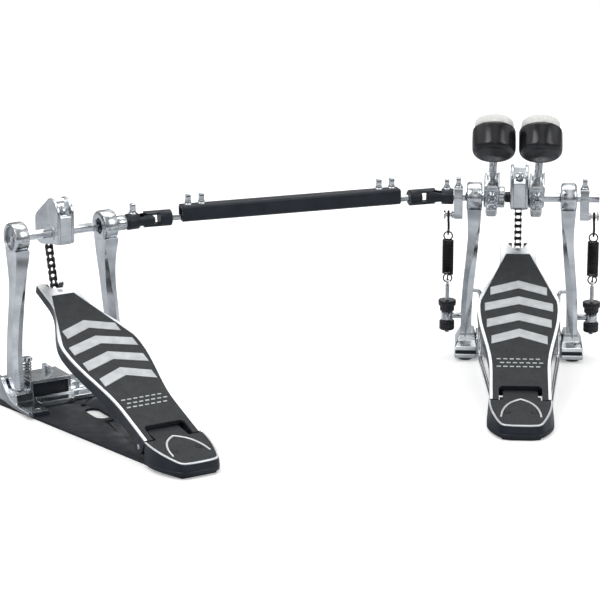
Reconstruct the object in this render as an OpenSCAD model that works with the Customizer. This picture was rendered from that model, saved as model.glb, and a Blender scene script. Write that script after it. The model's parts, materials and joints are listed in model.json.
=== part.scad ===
// Twin bass drum pedal: a main pedal with two beaters and a slave pedal,
// joined by a telescopic drive shaft with a universal joint at each end.
// X runs along the main pedal's shaft, Y points at the drum, Z is up.
// The origin is on the floor, under the shaft, midway between the main posts.

/* [Layout] */
// Height of both pedal shafts above the floor
shaft_h = 169; // [166:1:172]
// Distance between the centre lines of a pedal's two posts
post_gap = 97; // [96:1:100]
// Slave pedal position along X
slave_x = -454; // [-490:1:-440]
// Slave pedal position along Y
slave_y = -168; // [-190:1:-150]
// Turn of the slave pedal about the vertical, heel towards the main pedal
slave_yaw = 34.4; // [30:0.2:38]

/* [Footboards] */
// Length of a footboard from its hinge pin to its toe end
board_l = 253; // [240:1:258]
// Full width at the widest place
board_w = 84; // [76:1:86]
// Full width at the heel end
board_heel_w = 60; // [58:1:62]
// Full width at the toe end
board_toe_w = 37; // [34:1:40]
// Slope of the main footboard at rest
main_pitch = 21; // [20:0.5:21.5]
// Slope of the slave footboard at rest
slave_pitch = 20; // [19.5:0.5:21]

/* [Drive] */
// Width across flats of the hexagonal shafts
hex_af = 8; // [7:0.5:8]
// Radius at which the chain runs round the cam
chain_r = 28; // [27:0.5:29]
// Chain pitch
pitch = 6.35; // [6:0.05:6.5]
// Diameter of the universal joints
joint_d = 16.5; // [16:0.5:18]
// Height and width of the drive tube
tube_w = 16; // [15:0.5:18]
// Height of the tube's middle above the rods that slide in it
tube_lift = 3.6; // [0:0.2:3.6]

/* [Beaters] */
// Lean of the beaters towards the player at rest
beater_lean = 53; // [45:1:56]
// Distance from the shaft to the middle of a beater head
beater_l = 130; // [110:1:165]
// Diameter of a beater head
beater_d = 43; // [38:1:44]
// Distance between the two beaters
beater_gap = 45; // [44:0.5:46]

/* [Springs] */
// Outside diameter of a return spring
spring_d = 12; // [10:0.5:13]
// Number of coils in a return spring
spring_turns = 19; // [12:1:20]

/* [Hidden] */
$fn = 48;
run = 0.05;               // radial clearance of a running fit
loose = 0.4;              // radial clearance where a linkage is left open
cx = -2.5;                // middle of the footboard, chain and cam along X
post_x = post_gap / 2;
house_w = 16;             // length of a bearing housing along the shaft
house_d = 31;
bearing_d = 22;
bearing_w = 7;
bearing_in = post_x - 2.5;  // inner face of a bearing, from the middle
hinge_y = -217;
hinge_z = 15;
board_top = 13;           // height of the tread above the hinge pin
board_heel = -9;          // heel end of the footboard, behind the pin
pin_d = 5;
floor_pad = 2;            // height of the rubber under the main pedal
plate_t = 3;              // thickness of the slave base plate
clamp_pin = [0, 14, 32];

// Universal joint centres and the line of the drive shaft between them
slave_joint_s = 96;
main_joint_x = -94;
joint_1 = [slave_x + slave_joint_s * cos(slave_yaw), slave_y + slave_joint_s * sin(slave_yaw)];
joint_2 = [main_joint_x, 0];
drive_yaw = atan2(joint_2.y - joint_1.y, joint_2.x - joint_1.x);
drive_l = norm(joint_2 - joint_1);
yoke_l = 24;
rod_d = 7;
tube_start = 34;
tube_end = drive_l - 35;
rod_in = 70;              // length of each drive rod inside the tube

// Spring line: rocker pin above, stud below
rocker_r = 19;
rocker_a = 8;             // lean of the rocker arm from straight down
spring_x = 75;
spring_y = -rocker_r * sin(rocker_a);
rocker_pin_z = shaft_h - rocker_r * cos(rocker_a);
stud_z = 42;
spring_top = 124;
spring_bottom = 86;
wire_d = 1.6;
coil_r = (spring_d - wire_d) / 2;
loop_r = coil_r - 0.8;
loop_rise = 3.6;
loop_top = spring_top + loop_rise + loop_r;
loop_bottom = spring_bottom - loop_rise - loop_r;

// Radius rod: from its hook in the post, down and along the floor to the heel plate
rod_wire_d = 4;
heel_front = hinge_y - 14.5;
heel_l = 53;
rod_path = [
  [post_x + 6, -5, 70], [post_x - 8, -5, 70], [post_x - 8, -32, 6], [24, heel_front - 7, 5]
];
// a point on the rod's last stretch, just past its end
rod_beyond = rod_path[3] + (rod_path[3] - rod_path[2]) / 80;

// Chain run: from the toe pin to the tangent point on the cam
chain_pin_s = board_l - 6;
chain_pin_z = 6;
function turn_x(p, a) = [p[0] * cos(a) - p[1] * sin(a), p[0] * sin(a) + p[1] * cos(a)];
function chain_foot(tilt) = [hinge_y, hinge_z] + turn_x([chain_pin_s, chain_pin_z], tilt);
function foot_r(tilt) = norm(chain_foot(tilt) - [0, shaft_h]);
function foot_a(tilt) = atan2(chain_foot(tilt)[1] - shaft_h, chain_foot(tilt)[0]);
function tangent_a(tilt) = foot_a(tilt) + acos(chain_r / foot_r(tilt));
function run_l(tilt) = sqrt(foot_r(tilt) * foot_r(tilt) - chain_r * chain_r);
chain_spare = 18;         // length of the straight run hidden inside the cam at rest
wrap_from = 42;           // cam angle where the fixed wrap of chain begins
wrap_links = 3;

steel = [0.78, 0.80, 0.82];
cast = [0.72, 0.74, 0.76];
black = [0.10, 0.11, 0.13];
charcoal = [0.20, 0.21, 0.22];
felt = [0.93, 0.93, 0.90];

// ---------------------------------------------------------------- helpers

module along_x() { rotate([0, 90, 0]) children(); }
module along_y() { rotate([-90, 0, 0]) children(); }
module at_slave() { translate([slave_x, slave_y, 0]) rotate([0, 0, slave_yaw]) children(); }
module at_shaft() { translate([0, 0, shaft_h]) children(); }
module at_drive() { translate([joint_1.x, joint_1.y, shaft_h]) rotate([0, 0, drive_yaw]) children(); }
module at_board(tilt) { translate([cx, hinge_y, hinge_z]) rotate([tilt, 0, 0]) children(); }
module both_sides() { for (side = [-1, 1]) scale_x(side) children(); }
module scale_x(side) { if (side < 0) mirror([1, 0, 0]) children(); else children(); }

// Rod along X from x0 to x1
module rod_x(x0, x1, d) { translate([x0, 0, 0]) along_x() cylinder(h = x1 - x0, d = d); }

// Hexagonal bar along X from x0 to x1, flats facing up and down
module hex_x(x0, x1, af) {
  translate([x0, 0, 0]) along_x() cylinder(h = x1 - x0, d = af / cos(30), $fn = 6);
}

// Plate in the YZ plane, from x0 to x1, with its outline given as [y, z] points
module slab_x(x0, x1, points) {
  translate([x0, 0, 0]) rotate([90, 0, 90]) linear_extrude(height = x1 - x0) polygon(points);
}

// Straight round wire between two points
module wire(a, b, d) {
  v = b - a;
  l = norm(v);
  translate(a) rotate([0, acos(v.z / l), atan2(v.y, v.x)]) cylinder(h = l, d = d, $fn = 24);
}

// Square-headed drum-key bolt, standing on Z = 0 with its shank pointing down
module key_bolt(shank, d = 5) {
  translate([0, 0, -shank]) cylinder(h = shank + 0.5, d = d);
  cylinder(h = 1.6, d = d + 5);
  translate([0, 0, 1]) cylinder(h = 3.4, d = d + 2);
  translate([-2.4, -2.4, 4]) cube([4.8, 4.8, 6.5]);
}

// Pan-headed cross-recess screw, standing on Z = 0 with its shank pointing down
module cross_screw(shank, d = 5, head = 9) {
  difference() {
    union() {
      translate([0, 0, -shank]) cylinder(h = shank + 0.5, d = d);
      cylinder(h = 3, d = head);
    }
    for (a = [0, 90]) rotate([0, 0, a]) translate([-head / 3, -0.6, 1.4]) cube([head / 1.5, 1.2, 2]);
  }
}

// ---------------------------------------------------------------- posts and bases

// Front outline of a post: it bows outwards towards the foot
function post_mid(z) = post_x + 6.5 * (1 - cos(180 * min(1, max(0, (shaft_h - 25 - z) / 105)))) / 2;
function post_half(z) = 5.6 + 2.4 * max(0, (z - shaft_h + 45) / 45);
post_z = [for (i = [0:12]) 16 + i * (shaft_h - 16) / 12];
post_front = concat(
  [for (z = post_z) [post_mid(z) + post_half(z), z]],
  [for (i = [12:-1:0]) [post_mid(post_z[i]) - post_half(post_z[i]), post_z[i]]]
);
post_side = [
  [-15, shaft_h], [-13, shaft_h - 30], [-10, shaft_h - 60], [-10, 60], [-13, 30], [-17, 16],
  [9, 16], [8, 60], [9, shaft_h - 60], [12, shaft_h - 30], [15, shaft_h]
];

// Right-hand post with its bearing housing
module post() {
  difference() {
    union() {
      intersection() {
        rotate([90, 0, 0]) translate([0, 0, -30]) linear_extrude(height = 60) polygon(post_front);
        slab_x(post_x - 20, post_x + 20, post_side);
      }
      at_shaft() rod_x(post_x - house_w / 2, post_x + house_w / 2, house_d);
    }
    at_shaft() rod_x(bearing_in, post_x + house_w, bearing_d);
    at_shaft() rod_x(post_x - house_w, bearing_in + 1, 15);
    // holes for the radius rod's hook and the spring stud
    translate([0, -5, 70]) rod_x(post_x - 10, post_x + 7, rod_wire_d + 2 * run);
    translate([0, spring_y, stud_z]) rod_x(post_x + 1, post_x + 20, 6);
  }
}

// Foot under one post, from the drum side to front_y
module foot(front_y) {
  difference() {
    slab_x(post_x - 5, post_x + 18, [
      [20, plate_t], [20, 26], [15, 27], [8, 25], [-12, 18],
      [front_y + 3, 16], [front_y, 12], [front_y, plate_t]
    ]);
    // socket for the lower end of the post
    intersection() {
      rotate([90, 0, 0]) translate([0, 0, -30]) linear_extrude(height = 60) polygon(post_front);
      slab_x(post_x - 20, post_x + 20, post_side);
    }
  }
}

// Cross beam from x0 to x1 with its top at z_top: recessed in front, hollow below
module beam(x0, x1, z_top) {
  difference() {
    translate([x0, -13, plate_t]) cube([x1 - x0, 35, z_top - plate_t]);
    translate([x0 + 3, -14, plate_t + 3]) cube([x1 - x0 - 6, 12, z_top - plate_t - 6]);
    translate([x0 + 3, 2, plate_t - 1]) cube([x1 - x0 - 6, 17, z_top - plate_t - 2]);
  }
}

module primary_base() {
  color(cast) difference() {
    union() {
      both_sides() foot(-29);
      beam(-post_x + 5, post_x - 5, 23);
      translate([-post_x + 12, -24, plate_t]) cube([2 * post_x - 24, 12, 5]);
      // lower jaw of the hoop clamp
      translate([-22, 21, plate_t]) cube([44, 36, 7]);
      for (x = [-19, 14]) slab_x(x, x + 5, [[0, 22], [24, 22], [22, 34], [16, 38], [8, 38], [2, 32]]);
    }
    translate(clamp_pin) rod_x(-30, 30, 5 + 2 * run);
    // groove across the front of each foot
    both_sides() translate([post_x - 6, -30, 8]) cube([25, 4, 5]);
  }
}

module primary_post_left() { color(steel) mirror([1, 0, 0]) post(); }
module primary_post_right() { color(steel) post(); }

// The slave pedal's base: a tall box beside the left foot, a low beam to the right one
module slave_base() {
  color(cast) at_slave() {
    both_sides() {
      foot(-20);
      // thin tab that holds down the plate
      difference() {
        translate([post_x - 5, -54, plate_t]) cube([19, 35, 4]);
        translate([post_x + 4, -46, 0]) cylinder(h = 20, d = 5);
      }
    }
    beam(-post_x + 5, 0, 25);
    beam(-0.5, post_x - 5, 15);
    translate([-post_x + 4, -32, plate_t]) cube([2 * post_x - 8, 20, 5]);
    translate([-16, 10, 24]) cube([9, 9, 7]);
  }
}

module slave_posts() { color(steel) at_slave() both_sides() post(); }

// Sealed ball bearing along X, starting at x0
module bearing(x0) {
  difference() {
    rod_x(x0, x0 + bearing_w, bearing_d - 0.02);
    rod_x(x0 - 1, x0 + bearing_w + 1, 12.6);
    rod_x(x0 - 1, x0 + 0.4, 18.5);
    rod_x(x0 + bearing_w - 0.4, x0 + bearing_w + 1, 18.5);
  }
  difference() {
    rod_x(x0, x0 + bearing_w, 12.2);
    rod_x(x0 - 1, x0 + bearing_w + 1, 8);
  }
}

module bearings_primary() { color(charcoal) at_shaft() both_sides() bearing(bearing_in); }
module bearings_slave() { color(charcoal) at_slave() at_shaft() both_sides() bearing(bearing_in); }

// ---------------------------------------------------------------- footboards

// Half width of the footboard at a distance s from its hinge pin
function ease(t) = (1 - cos(180 * min(1, max(0, t)))) / 2;
function board_half(s) = board_heel_w / 2
  + (board_w - board_heel_w) / 2 * ease((s - 37) / 103)
  - (board_w - board_toe_w) / 2 * ease((s - 140) / 83);
function side_points(s0, s1, inset, n) =
  [for (i = [0:n]) let (s = s0 + (s1 - s0) * i / n) [board_half(s) - inset, s]];
function mirrored(points) = [for (i = [len(points) - 1:-1:0]) [-points[i][0], points[i][1]]];
function board_outline(s0, s1, inset, n) =
  concat(side_points(s0, s1, inset, n), mirrored(side_points(s0, s1, inset, n)));

// Grip: follows the edge, then narrows in a straight line to the toe
grip_start = 22;
grip_end = board_l - 22;
grip_bend = 150;
grip_side = concat(side_points(grip_start, grip_bend, 4, 16), [[12, grip_end]]);
grip_outline = concat(grip_side, mirrored(grip_side));

module footboard() {
  difference() {
    union() {
      linear_extrude(height = board_top) polygon(board_outline(board_heel, board_l, 0, 40));
      both_sides() rod_x(board_heel_w / 2 - 8, board_heel_w / 2, 15);
      both_sides() translate([board_heel_w / 2 - 8, board_heel, 0]) cube([8, 15, board_top]);
    }
    // hollow underside
    translate([0, 0, -1]) linear_extrude(height = board_top - 3)
      polygon(board_outline(18, board_l - 14, 3, 30));
    // shallower skirt towards the toe
    translate([-60, 60, -13]) rotate([1.2, 0, 0]) cube([120, 210, 12]);
    // knuckle opening at the heel end
    translate([-21.5, board_heel - 1, -10]) cube([43, 22, 30]);
    // chain slot and pin at the toe
    translate([-6, board_l - 11, -1]) cube([12, 12, 20]);
    translate([0, chain_pin_s, chain_pin_z]) rod_x(-20, 20, 2.4 + 2 * run);
    translate([0, board_l - 16, 5]) cylinder(h = 20, d = 3.4);
    // hinge pin
    rod_x(-40, 40, pin_d + 2 * run);
    // recess for the grip
    translate([0, 0, board_top - 0.8]) linear_extrude(height = 2) polygon(grip_outline);
  }
}

module grip() {
  translate([0, 0, board_top - 0.8]) linear_extrude(height = 1.2) polygon(grip_outline);
}

module primary_footboard() { color(steel) at_board(main_pitch) footboard(); }
module primary_grip() { color(charcoal) at_board(main_pitch) grip(); }
module slave_footboard() { color(steel) at_slave() at_board(slave_pitch) footboard(); }
module slave_grip() { color(charcoal) at_slave() at_board(slave_pitch) grip(); }

module hinge_pin() { translate([cx, hinge_y, hinge_z]) rod_x(-board_heel_w / 2, board_heel_w / 2, pin_d); }
module hinge_pin_primary() { color(steel) hinge_pin(); }
module hinge_pin_slave() { color(steel) at_slave() hinge_pin(); }

heel_side = [for (i = [1:8]) [31.5 - 10.5 * pow(i / 8, 2), -heel_l * (1 - cos(90 * i / 8)) * 0.94]];
heel_outline = concat([[31.5, 0]], heel_side, [[12, -heel_l], [-12, -heel_l]], mirrored(heel_side));

// Heel plate with the knuckle that carries the hinge pin
module heel_plate(bottom) {
  translate([cx, 0, 0]) difference() {
    union() {
      intersection() {
        translate([0, heel_front, bottom]) linear_extrude(height = 40) polygon(heel_outline);
        slab_x(-40, 40, [
          [heel_front - heel_l - 1, 0], [heel_front + 1, 0],
          [heel_front + 1, 23.6], [heel_front - heel_l - 1, 14.5]
        ]);
      }
      translate([0, hinge_y, hinge_z]) rod_x(-20.5, 20.5, 13);
      translate([-20.5, heel_front - 1, 5]) cube([41, 16, 9]);
    }
    translate([0, hinge_y, hinge_z]) rod_x(-30, 30, pin_d);
    // underside hollow
    translate([-16, heel_front - 40, bottom - 1]) cube([32, 30, 7]);
    // countersunk screws
    for (x = [-13, 13]) translate([x, heel_front - 24, 0]) {
      cylinder(h = 40, d = 4);
      translate([0, 0, 17.6]) cylinder(h = 10, d = 8);
    }
    // seats of the radius rod's ends
    translate([-cx, 0, 0]) both_sides() wire(rod_path[2], rod_beyond, rod_wire_d + 2 * run);
  }
}

module primary_heel_plate() { color(black) heel_plate(floor_pad); }
module slave_heel_plate() { color(black) at_slave() heel_plate(plate_t); }

// Two bent wires from the posts to the heel plate
module radius_rod() {
  color(steel) both_sides() {
    for (i = [0:len(rod_path) - 2]) wire(rod_path[i], rod_path[i + 1], rod_wire_d);
    for (i = [1:len(rod_path) - 2]) translate(rod_path[i]) sphere(d = rod_wire_d + 1.2, $fn = 24);
  }
}

module heel_screws(bottom) {
  for (x = [-13, 13]) translate([cx + x, heel_front - 24, 0]) {
    translate([0, 0, bottom]) cylinder(h = 18 - bottom, d = 3.9);
    translate([0, 0, 17.6]) cylinder(h = 1.6, d = 7.6);
  }
}

module primary_screws() { color(steel) heel_screws(7); }

module slave_screws() {
  color(steel) at_slave() {
    heel_screws(plate_t + 6);
    // sprung height screw beside the left post
    translate([-post_x + 11, 8, 25]) {
      cylinder(h = 16, d = 4.5);
      translate([0, 0, 15]) cross_screw(2, 4, 11);
      for (i = [0:3]) translate([0, 0, 1 + i * 3.2])
        rotate_extrude() translate([3.6, 0]) circle(d = 1.6, $fn = 16);
    }
  }
}

module rubber_feet() {
  color(black) {
    for (x = [-post_x - 7, post_x + 7], y = [-18, 12]) translate([x, y, 0]) cylinder(h = plate_t, d = 14);
    translate([0, -4, 0]) cylinder(h = plate_t, d = 14);
    translate([cx, heel_front - 6, 0]) linear_extrude(height = floor_pad)
      polygon([for (p = heel_outline) p * 0.86]);
  }
}

// Sheet steel plate under the slave pedal, narrowing towards the heel plate
module slave_base_plate() {
  color(black) at_slave() translate([cx, 0, 0]) difference() {
    linear_extrude(height = plate_t) polygon([[-67, 24], [67, 24], [67, 5], [27, heel_front - 4],
      [26, heel_front - 24], [18, heel_front - 48], [-18, heel_front - 48], [-26, heel_front - 24],
      [-27, heel_front - 4], [-67, 5]]);
    for (y = [-46, -103]) translate([0, y, -1]) cylinder(h = 9, d = 6);
    translate([0, -75, -1]) linear_extrude(height = 9) {
      for (y = [-10, 10]) translate([0, y]) circle(d = 15);
      square([15, 20], center = true);
    }
  }
}

// ---------------------------------------------------------------- hoop clamp

module hoop_clamp_jaw() {
  color(cast) difference() {
    union() {
      slab_x(-13.5, 13.5, [
        [56, 26], [56, 22], [50, 22], [46, 25], [26, 26], [6, 26],
        [-12, 27], [-12, 35], [6, 38], [20, 38], [44, 34]
      ]);
      translate(clamp_pin) rod_x(-13.5, 13.5, 13);
    }
    translate([0, -4, 0]) cylinder(h = 60, d = 6 + 2 * run);
    translate(clamp_pin) rod_x(-20, 20, 5 + 2 * run);
  }
  color(steel) translate(clamp_pin) rod_x(-19, 19, 5);
}

module hoop_clamp_screw() {
  color(steel) translate([0, -4, 0]) {
    translate([0, 0, 23.5]) cylinder(h = 21, d = 6);
    translate([0, 0, 42]) cylinder(h = 6, d = 12);
    translate([-16, -2, 44]) cube([32, 4, 4]);
    for (x = [-16, 16]) translate([x, 2, 47]) rotate([90, 0, 0]) cylinder(h = 4, d = 10);
  }
}

// ---------------------------------------------------------------- chain

// One chain link from [0, 0] to [0, pitch]: two side plates with their pins, or with bushes
module outer_link() {
  for (x = [-3.55, 2.75]) slab_link(x, 0.8);
  for (z = [0, pitch]) translate([0, 0, z]) rod_x(-3.9, 3.9, 2.2);
}
module inner_link() {
  difference() {
    union() {
      for (x = [-2.7, 1.9]) slab_link(x, 0.8);
      for (z = [0, pitch]) translate([0, 0, z]) rod_x(-1.95, 1.95, 3.3);
    }
    for (z = [0, pitch]) translate([0, 0, z]) rod_x(-4, 4, 2.2 + 2 * run);
  }
}
module slab_link(x, t) {
  for (z = [0, pitch]) translate([0, 0, z]) rod_x(x, x + t, 5.2);
  translate([x, -1.8, 0]) cube([t, 3.6, pitch]);
}

// Straight run of chain from its pin in the toe to inside the cam
module chain_run(tilt) {
  n = round((run_l(tilt) + chain_spare) / pitch);
  lean = tangent_a(tilt);
  translate([cx, chain_foot(tilt)[0], chain_foot(tilt)[1]]) rotate([lean, 0, 0]) {
    rod_x(-11, 11, 2.4);
    for (i = [0:n - 1]) translate([0, 0, i * pitch]) if (i % 2 == 0) outer_link(); else inner_link();
  }
}

// Wrap of chain held on the cam
module chain_wrap() {
  step = 2 * asin(pitch / 2 / chain_r);
  translate([cx, 0, shaft_h]) for (i = [0:wrap_links - 1]) rotate([wrap_from + i * step, 0, 0])
    translate([0, chain_r, 0]) rotate([step / 2, 0, 0]) if (i % 2 == 0) outer_link(); else inner_link();
}

module primary_chain() { color(black) chain_run(main_pitch); }
module slave_chain() { color(black) at_slave() chain_run(slave_pitch); }
module primary_chain_wrap() { color(black) chain_wrap(); }

// ---------------------------------------------------------------- shafts and cams

cam_half = 9;
cam_outline = [
  [-16, -8], [-16, 25], [-12, 30], [-2, 34.5], [5, 34], [33, 14],
  [36, 7], [36, -6], [32, -15], [22, -16], [-5, -11]
];

// Closed front of the housing, sloping back to its top
cam_front = [[-16, -8], [-16, 12], [-13, 14], [-6, 30], [-2, 33], [4, 22], [0, -11]];

// Cam housing: two cheeks joined by a hub, with a chain channel on the drum side
module cam() {
  translate([cx, 0, shaft_h]) difference() {
    union() {
      for (x = [-cam_half, cam_half - 3.4]) slab_x(x, x + 3.4, cam_outline);
      intersection() {
        rod_x(-cam_half + 1, cam_half - 1, 2 * (chain_r - 5));
        slab_x(-cam_half, cam_half, cam_outline);
      }
      slab_x(-cam_half + 1, cam_half - 1, cam_front);
    }
    hex_x(-20, 20, hex_af + 2 * run);
    // pocket for the clamp screw in the sloping front
    translate([0, -11, 21]) rotate([60, 0, 0]) {
      translate([-4.4, -6, -3]) cube([8.8, 12, 14]);
      translate([0, 0, -9]) cylinder(h = 8, d = 4.2);
    }
  }
}

module cam_screw() {
  translate([cx, -8.5, shaft_h + 19.5]) rotate([60, 0, 0]) cross_screw(5, 4, 8);
}

module primary_cam() { color(steel) cam(); }
module slave_cam() { color(steel) at_slave() { cam(); cam_screw(); chain_wrap(); } }

module hex_journal(x_list, hex_list) {
  for (p = hex_list) hex_x(p[0], p[1], hex_af);
  for (p = x_list) rod_x(p[0], p[1], 8 - 2 * run);
}

module primary_shaft() {
  color(steel) at_shaft()
    hex_journal([[-30, -11], [post_x - 5, post_x + 7]], [[-11.5, post_x - 4], [post_x + 6, 80]]);
}

module secondary_shaft() {
  color(steel) at_shaft()
    hex_journal([[-post_x - 7, -post_x + 5]], [[-80, -post_x - 6], [-post_x + 4, -31]]);
}

module slave_shaft_and_collar() {
  color(steel) at_slave() at_shaft() {
    hex_journal(
      [[-post_x - 6, -post_x + 5], [post_x - 5, post_x + 7]],
      [[-post_x + 4, post_x - 4], [post_x + 6, 82]]
    );
    difference() {
      rod_x(post_x + 8.5, post_x + 20.5, 15);
      hex_x(0, 90, hex_af);
      translate([post_x + 14, 0, 3]) cylinder(h = 10, d = 4);
    }
  }
}

module shaft_sleeve() {
  color(black) at_shaft() difference() {
    rod_x(-17, -11.6, 11);
    rod_x(-20, 0, 8);
  }
}

// ---------------------------------------------------------------- beater holders

left_x = -beater_gap / 2 - 8.5;
right_x = beater_gap / 2 - 7.5;
module in_lean() { at_shaft() rotate([beater_lean, 0, 0]) children(); }

// Holder centred on x: a clamp on the shaft and a block for the beater rod
module holder(x, from, to) {
  difference() {
    union() {
      rod_x(from, to, 22);
      translate([x - 8, -9, 0]) cube([16, 19, 42]);
      translate([x - 5, -19, -7]) cube([10, 12, 14]);
    }
    translate([x, 0, 8]) cylinder(h = 46, d = 8 + 2 * run);
    translate([x - 9, -20, -0.7]) cube([18, 17, 1.4]);
    translate([x, -14, 30]) along_y() cylinder(h = 12, d = 5);
    translate([x, -14.5, -10]) cylinder(h = 20, d = 4);
  }
}

module holder_bolts(x) {
  translate([x, -9, 30]) rotate([90, 0, 0]) key_bolt(4.5);
  translate([x, -14.5, 7]) key_bolt(13, 4);
}

module beater_holder_right() {
  color(steel) in_lean() difference() {
    holder(right_x, 7, 23);
    rotate([-beater_lean, 0, 0]) hex_x(0, 40, hex_af + 2 * run);
  }
}

module beater_holder_left() {
  color(steel) in_lean() difference() {
    holder(left_x, -39, -17.5);
    rotate([-beater_lean, 0, 0]) hex_x(-60, -31, hex_af + 2 * run);
    rod_x(-31.01, 0, 8);
  }
}

// Beater rod, head and felt, on the rod's own axis
head_l = 29;
module beater_rod(x) {
  in_lean() translate([x, 0, 16]) cylinder(h = beater_l - 10, d = 8);
}
module beater_head(x) {
  in_lean() translate([x, 0, beater_l]) difference() {
    along_y() translate([0, 0, -12]) rotate_extrude($fn = 64) polygon(concat(
      [[0, 0]],
      [for (a = [0:15:90]) [beater_d / 2 - 5 + 5 * sin(a), 5 - 5 * cos(a)]],
      [[beater_d / 2, head_l - 3], [beater_d / 2 - 2, head_l], [0, head_l]]
    ));
    translate([0, 0, -30]) cylinder(h = 36, d = 8);
  }
}
module beater_felt(x) {
  in_lean() translate([x, head_l - 12, beater_l]) along_y() rotate_extrude($fn = 64) polygon([
    [0, 0], [beater_d / 2 - 2.4, 0], [beater_d / 2 - 2.4, 6], [beater_d / 2 - 4.5, 8.5], [0, 9]
  ]);
}

module beater_rod_left() { color(steel) beater_rod(left_x); }
module beater_rod_right() { color(steel) beater_rod(right_x); }
module beater_head_left() { color(black) beater_head(left_x); }
module beater_head_right() { color(black) beater_head(right_x); }
module beater_felt_left() { color(felt) beater_felt(left_x); }
module beater_felt_right() { color(felt) beater_felt(right_x); }

// ---------------------------------------------------------------- rockers and springs

rocker_x = post_x + 12;
rocker_w = 9;

// Right-hand rocker: a block clamped on the shaft, with a pin for the spring hanger
module rocker() {
  at_shaft() difference() {
    union() {
      translate([rocker_x, -6, 0]) cube([rocker_w, 12, 9.5]);
      rod_x(rocker_x, rocker_x + rocker_w, 14);
      rotate([-rocker_a, 0, 0]) {
        translate([rocker_x, -5.5, -rocker_r - 3.5]) cube([rocker_w, 11, rocker_r + 3.5]);
        translate([0, 0, -rocker_r]) rod_x(rocker_x, spring_x + 4, 4);
        translate([0, 0, -rocker_r]) rod_x(spring_x + 3, spring_x + 5, 9);
        translate([0, 0, -rocker_r]) rod_x(rocker_x, spring_x - 3, 7);
      }
    }
    hex_x(0, 90, hex_af + 2 * run);
    translate([rocker_x - 1, -0.7, 3]) cube([rocker_w + 2, 1.4, 10]);
    translate([rocker_x + rocker_w / 2, 0, 4]) cylinder(h = 10, d = 4);
  }
}
module rocker_bolt() { at_shaft() translate([rocker_x + rocker_w / 2, 0, 9.5]) key_bolt(4, 4); }

module rocker_right() { color(steel) rocker(); }
module rocker_left() { color(steel) mirror([1, 0, 0]) rocker(); }

module primary_shaft_screws() {
  color(steel) {
    rocker_bolt();
    cam_screw();
    in_lean() holder_bolts(right_x);
  }
}

module secondary_shaft_screws() {
  color(steel) {
    mirror([1, 0, 0]) rocker_bolt();
    in_lean() holder_bolts(left_x);
  }
}

// Strap that hangs on the rocker pin and carries the spring's upper loop
module hanger() {
  translate([spring_x, spring_y, 0]) difference() {
    union() {
      for (dz = [0, -3]) translate([-1, 0, rocker_pin_z + dz]) along_x() cylinder(h = 2, d = 11.5);
      translate([-1, -3.5, loop_top]) cube([2, 7, rocker_pin_z - loop_top - 4]);
      translate([-1, 0, loop_top]) along_x() cylinder(h = 2, d = 7);
    }
    for (dz = [-0.3, -3]) translate([-2, 0, rocker_pin_z + dz]) along_x() cylinder(h = 4, d = 6.6);
    translate([-2, -3.3, rocker_pin_z - 3]) cube([4, 6.6, 2.7]);
    translate([-2, 0, loop_top]) along_x() cylinder(h = 4, d = 3);
  }
}

// Coil spring, drawn as touching rings, with a loop at each end
module spring() {
  coil_pitch = (spring_top - spring_bottom - wire_d) / spring_turns;
  translate([spring_x, spring_y, 0]) {
    rotate_extrude() {
      translate([coil_r - 0.5, spring_bottom + 1]) square([0.6, spring_top - spring_bottom - 2]);
      for (i = [0:spring_turns])
        translate([coil_r, spring_bottom + wire_d / 2 + i * coil_pitch]) circle(d = wire_d, $fn = 16);
    }
    for (z = [spring_top + loop_rise, spring_bottom - loop_rise])
      translate([0, 0, z]) rotate([90, 0, 0])
        rotate_extrude() translate([loop_r, 0]) circle(d = wire_d, $fn = 16);
  }
}

// Threaded rod through the stud, with an eye for the spring's lower loop
module tension_rod() {
  translate([spring_x, spring_y, 0]) difference() {
    union() {
      translate([0, 0, 24]) cylinder(h = loop_bottom - 26, d = 4.5);
      translate([-1.5, 0, loop_bottom]) along_x() cylinder(h = 3, d = 7.5);
    }
    translate([-3, 0, loop_bottom]) along_x() cylinder(h = 6, d = 3);
  }
}

// Tension knob above the stud and lock nut below it
module knob() {
  translate([spring_x, spring_y, 0]) difference() {
    union() {
      translate([0, 0, stud_z + 5]) cylinder(h = 7, d = 15);
      translate([0, 0, stud_z + 11]) cylinder(h = 6, d = 18);
      translate([0, 0, stud_z - 15]) cylinder(h = 10, d = 16);
    }
    cylinder(h = 100, d = 4.5 + 2 * run);
  }
}

// Stud in the post, with an eye for the tension rod
module stud() {
  translate([0, spring_y, stud_z]) difference() {
    union() {
      rod_x(post_x + 4, spring_x, 5.9);
      translate([spring_x, 0, -4]) cylinder(h = 8, d = 12);
    }
    translate([spring_x, 0, -10]) cylinder(h = 20, d = 6.4);
  }
}

module spring_studs() { color(steel) both_sides() stud(); }
module spring_hanger_right() { color(black) hanger(); }
module spring_hanger_left() { color(black) mirror([1, 0, 0]) hanger(); }
module spring_right() { color(black) spring(); }
module spring_left() { color(black) mirror([1, 0, 0]) spring(); }
module tension_rod_right() { color(steel) tension_rod(); }
module tension_rod_left() { color(steel) mirror([1, 0, 0]) tension_rod(); }
module tension_knob_right() { color(black) knob(); }
module tension_knob_left() { color(black) mirror([1, 0, 0]) knob(); }

// ---------------------------------------------------------------- drive shaft

cross_d = 5;
ear_w = 9;
ear_t = joint_d / 2 - 4.6;

// Yoke pointing along +X with its joint centre at the origin; ears pierced along Y
module yoke(bore) {
  difference() {
    union() {
      rod_x(-yoke_l, -11, joint_d);
      intersection() {
        rod_x(-12, 5, joint_d);
        union() {
          for (y = [-joint_d / 2, joint_d / 2 - ear_t]) {
            translate([-12, y, -ear_w / 2]) cube([12, ear_t, ear_w]);
            translate([0, y, 0]) along_y() cylinder(h = ear_t, d = ear_w);
          }
        }
      }
    }
    translate([0, -20, 0]) along_y() cylinder(h = 40, d = cross_d + 2 * bore);
  }
}

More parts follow.
